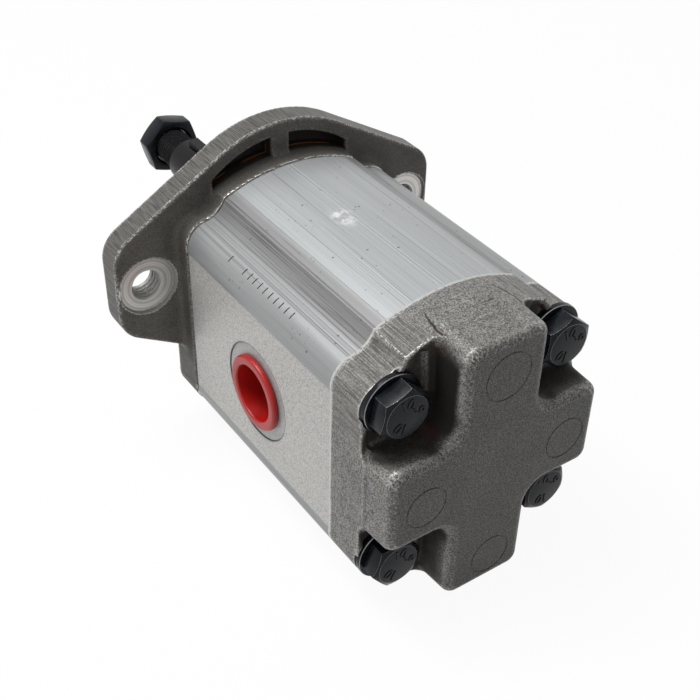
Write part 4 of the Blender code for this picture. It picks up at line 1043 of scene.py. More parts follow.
@dataclass(frozen=True)
class CastFinish:
    """As-cast metal with machined faces, worn edges that also carry painted highlights, and grime mixed with
    painted shade in its corners and hollows.
    """

    name: str
    cast: Colour = (0.200, 0.194, 0.185)
    dark: Colour = (0.162, 0.157, 0.149)
    # Share of its colour that the rear face keeps: painted shade on the face turned away from the key light.
    rear_shade_tone: float = 0.46
    fleck: Colour = (0.60, 0.59, 0.56)
    rough_cut: Colour = (0.190, 0.184, 0.173)
    bright_cut: Colour = (0.52, 0.51, 0.49)
    # Colour of grime, also used as painted shade in corners, in the flange's pockets and on the top arm's
    # wall.
    grime_and_shade: Colour = (0.014, 0.012, 0.010)
    rust: Colour = (0.040, 0.022, 0.014)
    stain: Colour = (0.075, 0.016, 0.010)
    rust_line: Colour = (0.32, 0.115, 0.025)
    rust_line_y: float = 125.6 * MM
    roughness: float = 0.5
    worn_roughness: float = 0.32
    dirt_roughness: float = 0.7
    bright_metallic: float = 0.7
    specular: float = 0.22
    grain: float = 2000.0
    grain_tone: float = 0.62
    grain_depth: float = 0.10 * MM
    turned_from: float = 123.5 * MM
    fleck_share: float = 0.6
    # Share of grime and painted shade in the corners.
    grime_and_shade_share: float = 0.96
    wear: float = 0.8
    wear_elsewhere: float = 1.0
    ring_centre: tuple[float, float] = (30.2 * MM, 14.3 * MM)
    stains: tuple[tuple[float, float, float, float], ...] = ()

    def stained(self, g: Graph) -> Socket:
        """How far a place is stained: blotches about each (x, y, z, radius) in millimetres."""
        blotches = [g.fall(g.vector("DISTANCE", g.place(), tuple(v * MM for v in spot))[1],
                           0.3 * radius * MM, radius * MM) for *spot, radius in self.stains]
        return g.times(g.most(0.0, *blotches), g.ease(g.noise(300.0, 4.0, 0.6), 0.35, 0.65, 0.35, 1.0))

    def build(self) -> Material:
        """Return the finished material."""
        g = Surface(self.name)
        grain = GRAIN.on(g, Scale=self.grain)
        wear = WEAR_AND_SHADE.on(g, Wear=self.wear)
        lines = LINES.on(g, Scale=2900.0, Stretch=(1.0, 0.03, 1.0))["Height"]
        along, machined = g.axis(1), g.mask("machined")
        front = g.ease(along, self.turned_from, self.turned_from + MM)
        across, up = (g.between(front, place, 0.0) for place in self.ring_centre)
        rings = RINGS.on(g, Scale=1500.0, Centre=g.first("CombineXYZ", {0: across, 2: up}))["Height"]
        cut, bright = g.ease(machined, 0.1, 0.45), g.ease(machined, 0.6, 0.95)
        # Worn edges: part real wear, part painted highlight along the rounded and broken edges.
        worn = g.times(wear["Worn"], g.between(cut, self.wear_elsewhere, 1.0))
        tone = g.ease(grain["Height"], 0.47, 0.73, 1 - self.grain_tone, 1 + self.grain_tone)
        # Painted shade: the rear face, within about 2 mm of Y = 0, keeps only part of its colour.
        face = g.ease(along, 0.3 * MM, 2.2 * MM, self.rear_shade_tone, 1.0)
        cast = g.scaled(g.blend(grain["Blotch"], self.dark, self.cast), g.times(tone, face))
        line_tone = g.times(g.ease(lines, 0.36, 0.64, 0.5, 1.4), g.between(0.5, tone, 1.0))
        ring_tone = g.ease(rings, 0.35, 0.65, 0.72, 1.15)
        rusty = g.ease(g.noise(130.0, 3.0, 0.6), 0.5, 0.68)
        trace = g.times(g.fall(g.gap(along, self.rust_line_y), 0.25 * MM, 0.6 * MM),
                        g.ease(g.noise(90.0), 0.4, 0.55))
        colour = g.coats(cast, (g.times(grain["Fleck"], self.fleck_share), self.fleck),
                         (cut, g.scaled(self.rough_cut, line_tone)),
                         (bright, g.scaled(self.bright_cut, ring_tone)),
                         # Bright worn edges, partly painted highlight.
                         (g.times(worn, 0.85), self.fleck),
                         # Grime and rust mixed with painted shade in the corners that the cavity mask finds.
                         (g.times(wear["Dirt"], self.grime_and_shade_share), g.blend(rusty, self.grime_and_shade, self.rust)),
                         (g.times(self.stained(g), 0.75), self.stain),
                         # Painted shade where the machined mask is below zero, with a thin real rust line in
                         # the flange's pockets.
                         (g.fall(machined, -0.8, -0.15), g.blend(trace, self.grime_and_shade, self.rust_line)))
        rough = g.between(bright, self.roughness, self.roughness - 0.16)
        rough = g.between(wear["Dirt"], g.between(worn, rough, self.worn_roughness), self.dirt_roughness)
        relief = g.between(cut, grain["Height"], g.times(lines, 0.5))
        return g.end(g.between(bright, relief, g.times(rings, 0.3)), self.grain_depth, colour,
                     Roughness=rough, Metallic=g.times(g.most(bright, worn), self.bright_metallic),
                     Specular_IOR_Level=self.specular)


@dataclass(frozen=True)
class ExtrudedFinish:
    """Extruded aluminium: die lines, pits, and milled flats round the ports."""

    name: str = "extruded_metal"
    light: Colour = (0.415, 0.43, 0.44)
    shade: Colour = (0.33, 0.34, 0.345)
    # Painted shade for the concave valleys beside the crown and for the lobes.
    valley: Colour = (0.220, 0.222, 0.220)
    milled: Colour = (0.56, 0.545, 0.515)
    scratch: Colour = (0.06, 0.058, 0.055)
    worn: Colour = (0.72, 0.72, 0.71)
    metallic: float = 0.35
    roughness: float = 0.40
    depth: float = 0.035 * MM
    flat_x: float = 40.2 * MM
    flat_z: float = 28.1 * MM
    valley_from: float = 20.8 * MM
    valley_to: float = 33.0 * MM
    valley_z: float = 36.0 * MM
    port_ring: float = 17.3 * MM
    scuff: Triple = (-4.2 * MM, 42.6 * MM, 34.0 * MM)

    def masks(self, g: Graph) -> Wires:
        """Where the flats, the valleys and lobes that take painted shade, the port rings and the broken end
        edges are.
        """
        across, along, up = (g.axis(number) for number in range(3))
        side, rise = g.math("ABSOLUTE", across), g.gap(up, LAYOUT.middle)
        flat = g.times(g.math("GREATER_THAN", side, self.flat_x), g.math("LESS_THAN", rise, self.flat_z))
        valley = g.times(g.ease(side, self.valley_from, self.valley_from + 2.6 * MM),
                         g.fall(side, self.valley_to - 3 * MM, self.valley_to),
                         g.math("GREATER_THAN", rise, self.valley_z))
        lobe = g.times(g.ease(side, self.valley_to - 3 * MM, self.valley_to),
                       g.math("GREATER_THAN", rise, self.flat_z))
        port = (-LAYOUT.half_width, LAYOUT.port_y, LAYOUT.port_z)
        from_port = g.vector("MULTIPLY", g.vector("SUBTRACT", g.place(), port)[0], (0.0, 1.0, 1.0))[0]
        radius = g.vector("LENGTH", from_port)[1]
        from_scuff = g.vector("DISTANCE", g.place((1.0, 0.55, 1.0)), self.scuff)[1]
        rear, front = LAYOUT.body_rear, LAYOUT.body_front
        return {"flat": flat, "valley": valley, "lobe": lobe,
                "scuff": g.times(g.fall(from_scuff, 1.0 * MM, 4.5 * MM),
                                 g.ease(g.noise(420.0, 4.0, 0.7), 0.42, 0.6)),
                "joint": g.ease(along, front - 0.45 * MM, front - 0.25 * MM),
                "lip": g.fall(along, rear + 0.3 * MM, rear + 0.6 * MM),
                "ring": g.times(g.fall(g.gap(radius, self.port_ring), 0.12 * MM, 0.42 * MM), flat),
                "seat": g.times(flat, g.math("LESS_THAN", radius, self.port_ring))}

    def build(self) -> Material:
        """Return the finished material."""
        g = Surface(self.name)
        where = self.masks(g)
        lines = LINES.on(g, Scale=2400.0, Stretch=(1.0, 0.006, 1.0))
        grain = GRAIN.on(g, Scale=1700.0)["Height"]
        pits, freckles = (PITS.on(g, Scale=scale, Rarity=rarity)["Pit"]
                          for scale, rarity in ((850.0, 0.86), (1400.0, 0.3)))
        patchy = g.ease(g.noise(60.0), 0.42, 0.58, 0.15, 1.0)
        marks = g.most(g.times(lines["Scratch"], g.math("SUBTRACT", 1.0, where["flat"]), 0.5),
                       g.times(pits, patchy), g.times(freckles, where["flat"], 0.8),
                       where["ring"], where["joint"])
        lip = g.times(where["lip"], g.ease(g.noise(700.0, 3.0, 0.6), 0.3, 0.44))
        colour = g.coats(g.blend(g.ease(lines["Tone"], 0.32, 0.66), self.shade, self.light),
                         # The valleys and the lobes take painted shade; the valleys keep the die's dark lines
                         # too.
                         (where["valley"],
                          g.blend(g.ease(lines["Height"], 0.34, 0.44), self.scratch, self.valley)),
                         (g.times(where["lobe"], 0.55), self.valley),
                         (where["flat"], g.blend(g.ease(grain, 0.45, 0.7), self.shade, self.milled)),
                         (g.times(where["seat"], 0.5), self.shade),
                         (g.times(marks, 0.75), self.scratch),
                         (g.most(lip, where["scuff"]), self.worn))
        striped = g.ease(lines["Tone"], 0.3, 0.7, self.roughness + 0.08, self.roughness - 0.06)
        relief = g.between(where["flat"], lines["Height"], g.times(grain, 0.6))
        return g.end(g.math("SUBTRACT", relief, g.times(marks, 0.8)), self.depth, colour,
                     Roughness=g.between(where["flat"], striped, self.roughness + 0.08),
                     Metallic=self.metallic)


@dataclass(frozen=True)
class SteelFinish:
    """Turned or ground steel, bronze, brass or alloy, from bright to black oxide."""

    name: str
    colour: Colour
    second: Colour
    metallic: float = 1.0
    roughness: float = 0.3
    depth: float = 0.01 * MM
    scale: float = 3500.0
    coated_from: float = 1.0
    coat: Colour = (0.006, 0.006, 0.007)
    specular: float = 0.5

    def build(self) -> Material:
        """Return the finished material, blackened beyond coated_from along Y."""
        g = Surface(self.name)
        rings = RINGS.on(g, Scale=self.scale)["Height"]
        cloud = g.noise(240.0, 3.0, 0.6)
        share = g.math("ADD", g.times(rings, 0.5), g.times(cloud, 0.5))
        coated = g.ease(g.axis(1), self.coated_from, self.coated_from + 0.5 * MM)
        colour = g.coats(self.colour, (g.ease(share, 0.35, 0.65), self.second), (coated, self.coat))
        return g.end(rings, self.depth, colour, Specular_IOR_Level=self.specular,
                     Roughness=g.ease(cloud, 0.3, 0.7, self.roughness - 0.06, self.roughness + 0.08),
                     Metallic=g.between(coated, self.metallic, 0.0))


@dataclass(frozen=True)
class MouldedFinish:
    """Moulded plastic or rubber with a slight cloudiness and a soft skin."""

    name: str
    colour: Colour
    second: Colour
    roughness: float = 0.35
    depth: float = 0.02 * MM

    def build(self) -> Material:
        """Return the finished material."""
        g = Surface(self.name)
        skin = g.noise(2200.0)
        colour = g.blend(g.ease(g.noise(180.0, 3.0, 0.6), 0.3, 0.7), self.colour, self.second)
        return g.end(skin, self.depth, colour,
                     Roughness=g.ease(skin, 0.3, 0.7, self.roughness - 0.05, self.roughness + 0.08))


class Finish(Enum):
    """The finishes that more than one piece takes."""

    CAST = CastFinish("cast_cover", stains=((-28.5, 15.0, -4.5, 8.0), (-18.5, 9.0, 3.5, 6.0)))
    # The flange's cast iron is a darker copy of the cover's: partly an oily coat, partly painted shade where
    # the body shades the flange.
    PLATE = CastFinish("cast_flange", cast=(0.112, 0.105, 0.095), dark=(0.088, 0.082, 0.074),
                       rough_cut=(0.108, 0.105, 0.098), bright_cut=(0.60, 0.59, 0.57), grain=2400.0,
                       grain_tone=0.22, grain_depth=0.04 * MM, fleck_share=0.08, wear=0.85,
                       wear_elsewhere=0.3, grime_and_shade_share=0.35, ring_centre=(53.2 * MM, 0.0))
    EXTRUDED = ExtrudedFinish()
    BLACK = SteelFinish("black_oxide", (0.006, 0.007, 0.009), (0.012, 0.013, 0.017), 0.1, 0.25,
                        specular=0.14)
    SHAFT = SteelFinish("shaft_steel", (0.46, 0.46, 0.47), (0.56, 0.56, 0.57), 1.0, 0.26,
                        coated_from=146.5 * MM, specular=0.12)
    # Brighter steel on broken edges and thread crests: part real wear of the black oxide, part painted
    # highlight.
    WORN_AND_GLINT = SteelFinish("worn_edge_glint", (0.14, 0.145, 0.155), (0.26, 0.27, 0.28), 1.0, 0.3)
    GROUND = SteelFinish("ground_steel", (0.46, 0.46, 0.47), (0.56, 0.56, 0.57), 1.0, 0.26)
    ALLOY = SteelFinish("bearing_alloy", (0.50, 0.50, 0.48), (0.60, 0.60, 0.58), 1.0, 0.38)
    BRONZE = SteelFinish("bronze", (0.50, 0.32, 0.14), (0.60, 0.40, 0.19), 1.0, 0.32)
    BRASS = SteelFinish("brass_cage", (0.56, 0.42, 0.16), (0.66, 0.50, 0.21), 1.0, 0.3)
    RUBBER = MouldedFinish("nitrile_rubber", (0.014, 0.014, 0.014), (0.024, 0.023, 0.022), 0.6)
    SEAL = MouldedFinish("seal_rubber", (0.16, 0.055, 0.022), (0.22, 0.080, 0.034), 0.55)
    RED = MouldedFinish("red_plastic", (0.34, 0.005, 0.004), (0.40, 0.007, 0.006), 0.34)

    @cache
    def material(self) -> Material:
        """The finish's material, built when it is first asked for."""
        return self.value.build()


@dataclass
class RearCover:
    """Cast rear cover: a plate of the body's outline under a cross-shaped boss."""

    lip: float = 13.9 * MM
    lip_width: float = 2.0 * MM
    lip_height: float = 1.3 * MM
    spot_radius: float = 10.5 * MM
    spot_seat: float = 15.5 * MM
    arm_x: float = 15.2 * MM
    arm_z: float = 15.8 * MM
    top: float = 49.4 * MM
    bottom: float = -49.7 * MM
    side: float = 39.9 * MM
    corner: float = 4.5 * MM
    valley: float = 7.5 * MM
    rim: float = 3.0 * MM
    draft: float = math.tan(math.radians(3))
    fillet: float = 3.2 * MM
    fade: float = 1.3 / 14
    cell: float = 0.62 * MM
    ring_width: float = 0.5 * MM
    ring_depth: float = 0.2 * MM
    rings: tuple[Triple, ...] = ((0.5, 35.6, 8.3), (27.9, -1.3, 7.4), (-26.2, -2.1, 7.2), (1.8, -38.6, 7.3))
    seam_x: float = 2.6 * MM
    seam_y: float = 17.5 * MM
    seam_half: float = 4.8 * MM
    seam_radius: float = 0.45 * MM

    def cross(self) -> Outline:
        """Outline of the cross about the body's middle."""
        x, z, s, t, b = self.arm_x, self.arm_z, self.side, self.top, self.bottom
        out, dip = self.corner, self.valley
        return rounded([(s, -z, out), (s, z, out), (x, z, dip), (x, t, out), (-x, t, out), (-x, z, dip),
                        (-s, z, out), (-s, -z, out), (-x, -z, dip), (-x, b, out), (x, b, out), (x, -z, dip)])

    def arms(self) -> Solid:
        """Cross with a rounded rim, drafted down to its foot and fading into the plate beyond it."""
        section = shifted(polygon(self.cross()), LAYOUT.middle)
        foot = self.lip + self.lip_height

        def distance(x: Array, y: Array, z: Array) -> Array:
            """Distance at each place."""
            grow = self.draft * (np.minimum(y, foot) - self.rim) - self.fade * np.maximum(y - foot, 0)
            across, down = section(x, z) - grow + self.rim, self.rim - y
            outside = np.hypot(np.maximum(across, 0), np.maximum(down, 0))
            body = outside + np.minimum(np.maximum(across, down), 0) - self.rim
            return np.maximum(body, y - LAYOUT.cover_depth)

        return Solid(distance)

    def painted_shade(self, x: Array, y: Array, z: Array) -> Array:
        """How far shade is painted on the top arm's left wall, from 0 to 1."""
        up = z - LAYOUT.middle
        fades = (1.4 - np.abs(x + self.arm_x + 1.5 * MM) / (3 * MM), (y - 2.2 * MM) / (2.5 * MM),
                 (up - 15 * MM) / (5 * MM), (46 * MM - up) / (5 * MM), (15 * MM - y) / (2 * MM))
        return math.prod(np.clip(fade, 0, 1) for fade in fades)

    def solid(self) -> Solid:
        """Field of the whole casting with its machined faces and holes."""
        lay = LAYOUT
        outline = shifted(polygon(lay.outline(fine=2)), lay.middle)
        plate = bar(outline, self.lip, lay.cover_depth, chamfer=0.35 * MM)
        inner = shifted(outline, 0.0, -self.lip_width)
        plate = plate.cut(bar(inner, 0, self.lip + self.lip_height), 0.5 * MM)
        arms = self.arms()
        hull = bar(outline, 0, lay.cover_depth).join(arms)
        cover = plate.join(arms, self.fillet).meet(hull)
        for side, end in ((-1, 1), (1, 1), (-1, -1), (1, -1)):
            rib = capsule((side * 17.9 * MM, 15.6 * MM, lay.middle + end * 45.2 * MM),
                          (side * 16.9 * MM, 15.0 * MM, lay.middle + end * 29.5 * MM), 1.6 * MM)
            cover = cover.join(rib, 1.6 * MM)
        bolts, end = lay.bolt_spots(), lay.cover_depth
        for section, start, stop in (
                (discs(bolts, self.spot_radius), self.lip - 4 * MM, self.spot_seat),
                (discs(bolts, lay.bolt_hole), 0, 40 * MM),
                (discs(lay.dowel_spots(), lay.dowel_hole), end - lay.dowel_reach, 40 * MM),
                (lay.seal_ring(), end - lay.seal_groove, 40 * MM)):
            cover = cover.cut(bar(section, start, stop))
        return cover

    def machined(self, x: Array, y: Array, z: Array) -> Array:
        """1 on the joint face and the spot faces, half on the plate's milled side, down to -0.9 where shade
        is painted on the top arm's left wall.
        """
        lay = LAYOUT
        side = polygon(lay.outline(fine=1))(x, z - lay.middle) > -0.4 * MM
        joint = y > lay.cover_depth - 0.1 * MM
        away = np.minimum(np.abs(x) - self.arm_x, z - lay.middle - self.arm_z) / (5 * MM)
        seat = ((discs(lay.bolt_spots(), self.spot_radius)(x, z) < 0.1 * MM)
                & (np.abs(y - self.spot_seat) < 0.3 * MM))
        milled = np.where(side & (y > self.lip + 0.2 * MM), np.clip(away, 0, 0.45), 0.0)
        # Below zero: painted shade on the top arm's left wall.
        return np.where(joint | seat, 1.0, milled - self.painted_shade(x, y, z) * 0.9)

    def details(self) -> tuple[Shape, Shape]:
        """Cutter of the ejector rings on the outer face, and the raised seam on the top arm."""
        half, deep, middle = self.ring_width / 2, self.ring_depth, LAYOUT.middle
        rings = cluster(moved(lathe([(r * MM - half, -MM), (r * MM + half, -MM), (r * MM + half, deep),
                                     (r * MM - half, deep)], 72, True), (x * MM, 0, middle + z * MM))
                        for x, z, r in self.rings)
        foot = self.lip + self.lip_height
        level = middle + self.top + self.draft * (foot - self.rim) - self.fade * (self.seam_y - foot)
        seam = moved(prism(circle(self.seam_radius, 12), -self.seam_half, self.seam_half),
                     (self.seam_x, self.seam_y, level), math.pi / 2)
        return rings, seam

    def build(self) -> None:
        """Make the cover and put it in the scene."""
        lay = LAYOUT
        low = (-lay.half_width, 0, lay.middle - lay.half_height)
        high = (lay.half_width, lay.cover_depth, lay.middle + lay.half_height)
        solid = self.solid()
        rings, seam = self.details()
        mesh = carved(casting(solid, low, high, self.cell), ("DIFFERENCE", rings), ("UNION", seam))
        dress_casting(mesh, solid, self.machined)
        add_piece("rear_cover_casting", mesh, Finish.CAST, "housing", "cast_iron",
                  "rear_cover")


@dataclass
class MountingFlange:
    """Cast front flange: block, two-ear plate with rear pockets, pilot and nose."""

    growth: float = 0.4 * MM
    plate_rear: float = 121.5 * MM
    plate_front: float = 131.4 * MM
    block_front: float = 128.6 * MM
    chamfer: float = 0.5 * MM
    arc_radius: float = 46.975 * MM
    ear_reach: float = 64.7 * MM
    ear_corner_z: float = 16.5 * MM
    ear_corner: float = 12.0 * MM
    ear_x: float = 53.2 * MM
    ear_hole: float = 5.65 * MM
    ear_spot: float = 10.7 * MM
    ear_spot_depth: float = 1.0 * MM
    pocket_ledge: float = 0.5 * MM
    pocket_outer: float = 42.275 * MM
    pocket_from: float = 50.5
    pocket_to: float = 85.5
    pocket_depth: float = 7.0 * MM
    bolt_reach: float = 11.6 * MM
    pilot_radius: float = 41.275 * MM
    pilot_end: float = 137.7 * MM
    nose_radius: float = 28.0 * MM
    nose_end: float = 145.8 * MM
    cell: float = 0.72 * MM
    bore: tuple[Triple, ...] = (
        (10.6, 110.0, 119.0), (17.5, 118.8, 127.0), (18.6, 126.1, 128.1), (17.5, 127.9, 129.6),
        (21.0, 129.5, 142.2), (22.1, 141.8, 143.8), (21.0, 143.5, 150.0))

    def plate(self) -> Outline:
        """Rhombus of the mounting plate about the drive axis."""
        reach = math.hypot(self.ear_reach, self.ear_corner_z)
        slope = math.atan2(self.ear_corner_z, self.ear_reach) + math.acos(self.arc_radius / reach)
        x = self.ear_reach
        z = (self.arc_radius - x * math.cos(slope)) / math.sin(slope)
        peak = self.arc_radius / math.sin(slope)
        ear, crown = self.ear_corner, self.arc_radius
        return rounded([(x, -z, ear), (x, z, ear), (0, peak, crown), (-x, z, ear), (-x, -z, ear),
                        (0, -peak, crown)], 16)

    def pocket(self, side: int) -> Outline:
        """Outline of the pocket on one side of the rib, about the drive axis."""
        lay = LAYOUT
        crown = lay.crown_radius + self.pocket_ledge
        crown_z = lay.half_height - lay.crown_radius + lay.middle
        outer = arc(0, 0, self.pocket_outer, self.pocket_from, self.pocket_to, 16)
        ends = [math.degrees(math.acos(x / crown)) for x in (outer[-1][0], outer[0][0])]
        inner = arc(0, crown_z, crown, ends[0], ends[1], 16)
        return [(side * x, z) for x, z in outer + inner]

    def solid(self) -> Solid:
        """Field of the whole casting with its machined faces and holes."""
        lay = LAYOUT
        block = bar(shifted(polygon(lay.outline(self.growth, 2)), lay.middle), lay.flange_rear,
                    self.block_front, rounding=0.6 * MM)
        plate = bar(polygon(self.plate()), self.plate_rear, self.plate_front, chamfer=self.chamfer)
        flange = plate.join(block, 3.0 * MM)
        centre: Outline = [(0.0, 0.0)]
        flange = flange.join(bar(discs(centre, self.pilot_radius), 126 * MM, self.pilot_end,
                                 chamfer=self.chamfer))
        flange = flange.join(bar(discs(centre, self.nose_radius), 126 * MM, self.nose_end, chamfer=1.5 * MM),
                             1.0 * MM)
        for side in (-1, 1):
            pocket = bar(shifted(polygon(self.pocket(side)), 0, -0.2 * MM), self.plate_rear - 6 * MM,
                         self.plate_rear + self.pocket_depth, rounding=0.9 * MM)
            flange = flange.cut(pocket, 0.7 * MM)
        for radius, start, end in self.bore:
            flange = flange.cut(bar(discs(centre, radius * MM), start * MM, end * MM))
        ears, rear = [(-self.ear_x, 0.0), (self.ear_x, 0.0)], lay.flange_rear
        for section, end in ((discs(ears, self.ear_spot), self.plate_rear + self.ear_spot_depth),
                             (discs(ears, self.ear_hole - 0.4 * MM), 150 * MM),
                             (discs(lay.bolt_spots(), lay.bolt_hole), rear + self.bolt_reach),
                             (discs(lay.dowel_spots(), lay.dowel_hole), rear + lay.dowel_reach),
                             (lay.seal_ring(), rear + lay.seal_groove)):
            flange = flange.cut(bar(section, 100 * MM, end))
        return flange

    def machined(self, x: Array, y: Array, z: Array) -> Array:
        """1 on the front, the joint face and the ears' spot faces, half on the plate's rough rim, -1 inside
        the pockets, which take painted shade.
        """
        lay = LAYOUT
        rim = (polygon(self.plate())(x, z) > -0.35 * MM) & (y > self.plate_rear - 0.2 * MM)
        front = (y > self.plate_front - 0.1 * MM) | (y < lay.flange_rear + 0.1 * MM)
        spots = discs([(-self.ear_x, 0.0), (self.ear_x, 0.0)], self.ear_spot + 0.1 * MM)(x, z) < 0
        sunk = np.minimum(polygon(self.pocket(-1))(x, z), polygon(self.pocket(1))(x, z))
        # Inside the pockets the dark colour is painted shade.
        painted_shade = (sunk < 0.3 * MM) & (y > self.plate_rear + 0.7 * MM) & (y < self.plate_front - 0.7 * MM)
        return np.where(front | spots, 1.0, np.where(rim, 0.45, np.where(painted_shade, -1.0, 0.0)))

    def ear_threads(self) -> Shape:
        """Cutter of both ear holes, ridged like a thread."""
        crest, root, pitch = self.ear_hole - 0.3 * MM, self.ear_hole + 0.2 * MM, 1.7 * MM
        start, end = self.plate_rear - MM, self.plate_front + MM
        profile = [(0.0, start)]
        turns = int((end - start) / pitch)
        for i in range(turns + 1):
            y = start + i * pitch
            profile += [(radius, y + share * pitch) for radius, share in
                        ((root, 0.0), (root, 0.25), (crest, 0.5), (crest, 0.75))]
        profile.append((0.0, start + (turns + 0.75) * pitch))
        return cluster(moved(lathe(profile, 64), (side * self.ear_x, 0, 0)) for side in (-1, 1))

    def build(self) -> None:
        """Make the flange and put it in the scene."""
        lay = LAYOUT
        low = (-self.ear_reach, lay.flange_rear, lay.middle - lay.half_height - self.growth)
        high = (self.ear_reach, self.nose_end, self.arc_radius)
        solid = self.solid()
        mesh = carved(casting(solid, low, high, self.cell), ("DIFFERENCE", self.ear_threads()))
        dress_casting(mesh, solid, self.machined)
        add_piece("mounting_flange_casting", mesh, Finish.PLATE, "housing", "cast_iron",
                  "mounting_flange")


@dataclass
class GearHousing:
    """Extruded body with the gear chamber, bolt and dowel holes and two ports."""

    edge: float = 0.45 * MM
    spot_radius: float = 17.3 * MM
    spot_depth: float = 0.3 * MM
    mouth: float = 1.0 * MM
    port_depth: float = 17.0 * MM
    passage: float = 8.0 * MM
    passage_stop: float = 4.0 * MM
    tick_count: int = 10
    tick_row: tuple[float, float] = (84.1 * MM, 56.4 * MM)
    tick_alone: float = 92.9 * MM
    tick_angles: tuple[float, float] = (114.0, 131.0)
    tick_width: float = 0.42 * MM
    tick_stray: float = 0.12 * MM
    die_lines: tuple[Triple, ...] = (
        (-0.6, 0.22, 0.10), (-1.9, 0.16, 0.07), (-21.6, 0.2, 0.09), (-25.2, 0.25, 0.12), (-26.6, 0.2, 0.10),
        (-28.9, 0.18, 0.08), (-30.4, 0.2, 0.10), (-31.8, 0.16, 0.07), (-33.6, 0.2, 0.09), (27.2, 0.2, 0.09),
        (29.6, 0.18, 0.08), (9.4, 0.15, 0.05), (-12.8, 0.15, 0.05), (18.7, 0.16, 0.05), (24.6, 0.2, 0.07))

    def outline(self) -> Outline:
        """Outline with the die's lines over the top and under the bottom."""
        plain = LAYOUT.outline(fine=6)
        marks = []
        for x, half, depth in self.die_lines:
            near = [p for p in plain if abs(p[0] - x * MM) < 0.8 * MM and p[1] > 0]
            if near:
                z = sum(p[1] for p in near) / len(near)
                marks += [(x * MM, z, half * MM, depth * MM), (-x * MM, -z, half * MM, depth * MM)]
        return scored(plain, marks)

    def port(self, side: int) -> Shape:
        """Cutter of one port: spot face, chamfered bore and passage to the chamber."""
        lay = LAYOUT
        seat, bore = -self.spot_depth, lay.port_radius
        end = -lay.half_width + self.passage_stop
        profile = [(0, end), (self.passage, end), (self.passage, -self.port_depth), (bore, -self.port_depth),
                   (bore, seat - self.mouth), (bore + self.mouth, seat), (self.spot_radius, seat),
                   (self.spot_radius, MM), (0, MM)]
        return moved(lathe(profile, 96), (side * lay.half_width, lay.port_y, lay.port_z), -side * math.pi / 2)

    def ticks(self, row: Tree, finish: Finish, sunk: float) -> Shape:
        """Single tick and the row of ticks that were struck into the left lobe.

        Args:
            row: Tree that sets the row.
            finish: Finish for the tree's end.
            sunk: How far the shapes' outer side lies below the lobe's surface.
        Returns:
            The ticks as closed shapes.
        """
        lay = LAYOUT
        centre = (-lay.lobe_x, lay.middle + lay.lobe_z)
        radius = lay.lobe_radius + lay.lobe_bulge
        low, high = self.tick_angles
        outline = arc(*centre, radius - sunk, low, high, 8) + arc(*centre, radius - 0.5 * MM, high, low, 8)
        half = self.tick_width / 2
        first, last = self.tick_row
        step = (last - first) / (self.tick_count - 1)
        mesh = row.repeat(mesh_of(prism(outline, -half, half)), finish, Count=self.tick_count,
                          Start=(0, first, 0), Step=(0, step, 0), Scatter=(0.0, self.tick_stray, 0.0))
        return cluster([shape_of(mesh), moved(prism(outline, -half, half), (0, self.tick_alone, 0))])

    def build(self, row: Tree) -> None:
        """Make the housing and put it in the scene."""
        lay = LAYOUT
        black = Finish.BLACK
        outline = self.outline()
        inset = offset(outline, -self.edge)
        body = loft([(inset, lay.body_rear), (outline, lay.body_rear + self.edge),
                     (outline, lay.body_front - self.edge), (inset, lay.body_front)])
        blank = mesh_of(moved(body, (0, 0, lay.middle)), 20)
        low, high = lay.body_rear - MM, lay.body_front + MM
        holes = [prism(circle(lay.bolt_hole, 48, x, z), low, high) for x, z in lay.bolt_spots()]
        for x, z in lay.dowel_spots():
            for y in (lay.body_rear, lay.body_front):
                hole = circle(lay.dowel_hole, 32, x, z)
                holes.append(prism(hole, y - lay.dowel_reach, y + lay.dowel_reach))
        chamber = moved(prism(lay.twin(lay.chamber_radius), low, high), (0, 0, lay.middle))
        mesh = carved(blank, ("DIFFERENCE", chamber), ("DIFFERENCE", cluster(holes)),
                      ("DIFFERENCE", self.port(-1)), ("DIFFERENCE", self.port(1)),
                      ("DIFFERENCE", self.ticks(row, black, -0.3 * MM)))
        add_piece("gear_housing_extrusion", mesh, Finish.EXTRUDED, "housing",
                  "extruded_aluminium", "gear_housing")
        # A black sheet sunk just under the tick grooves: painted shadow in the grooves.
        stain = mesh_of(self.ticks(row, black, 0.12 * MM))
        add_piece("struck_ticks", stain, black, "housing", "extruded_aluminium")


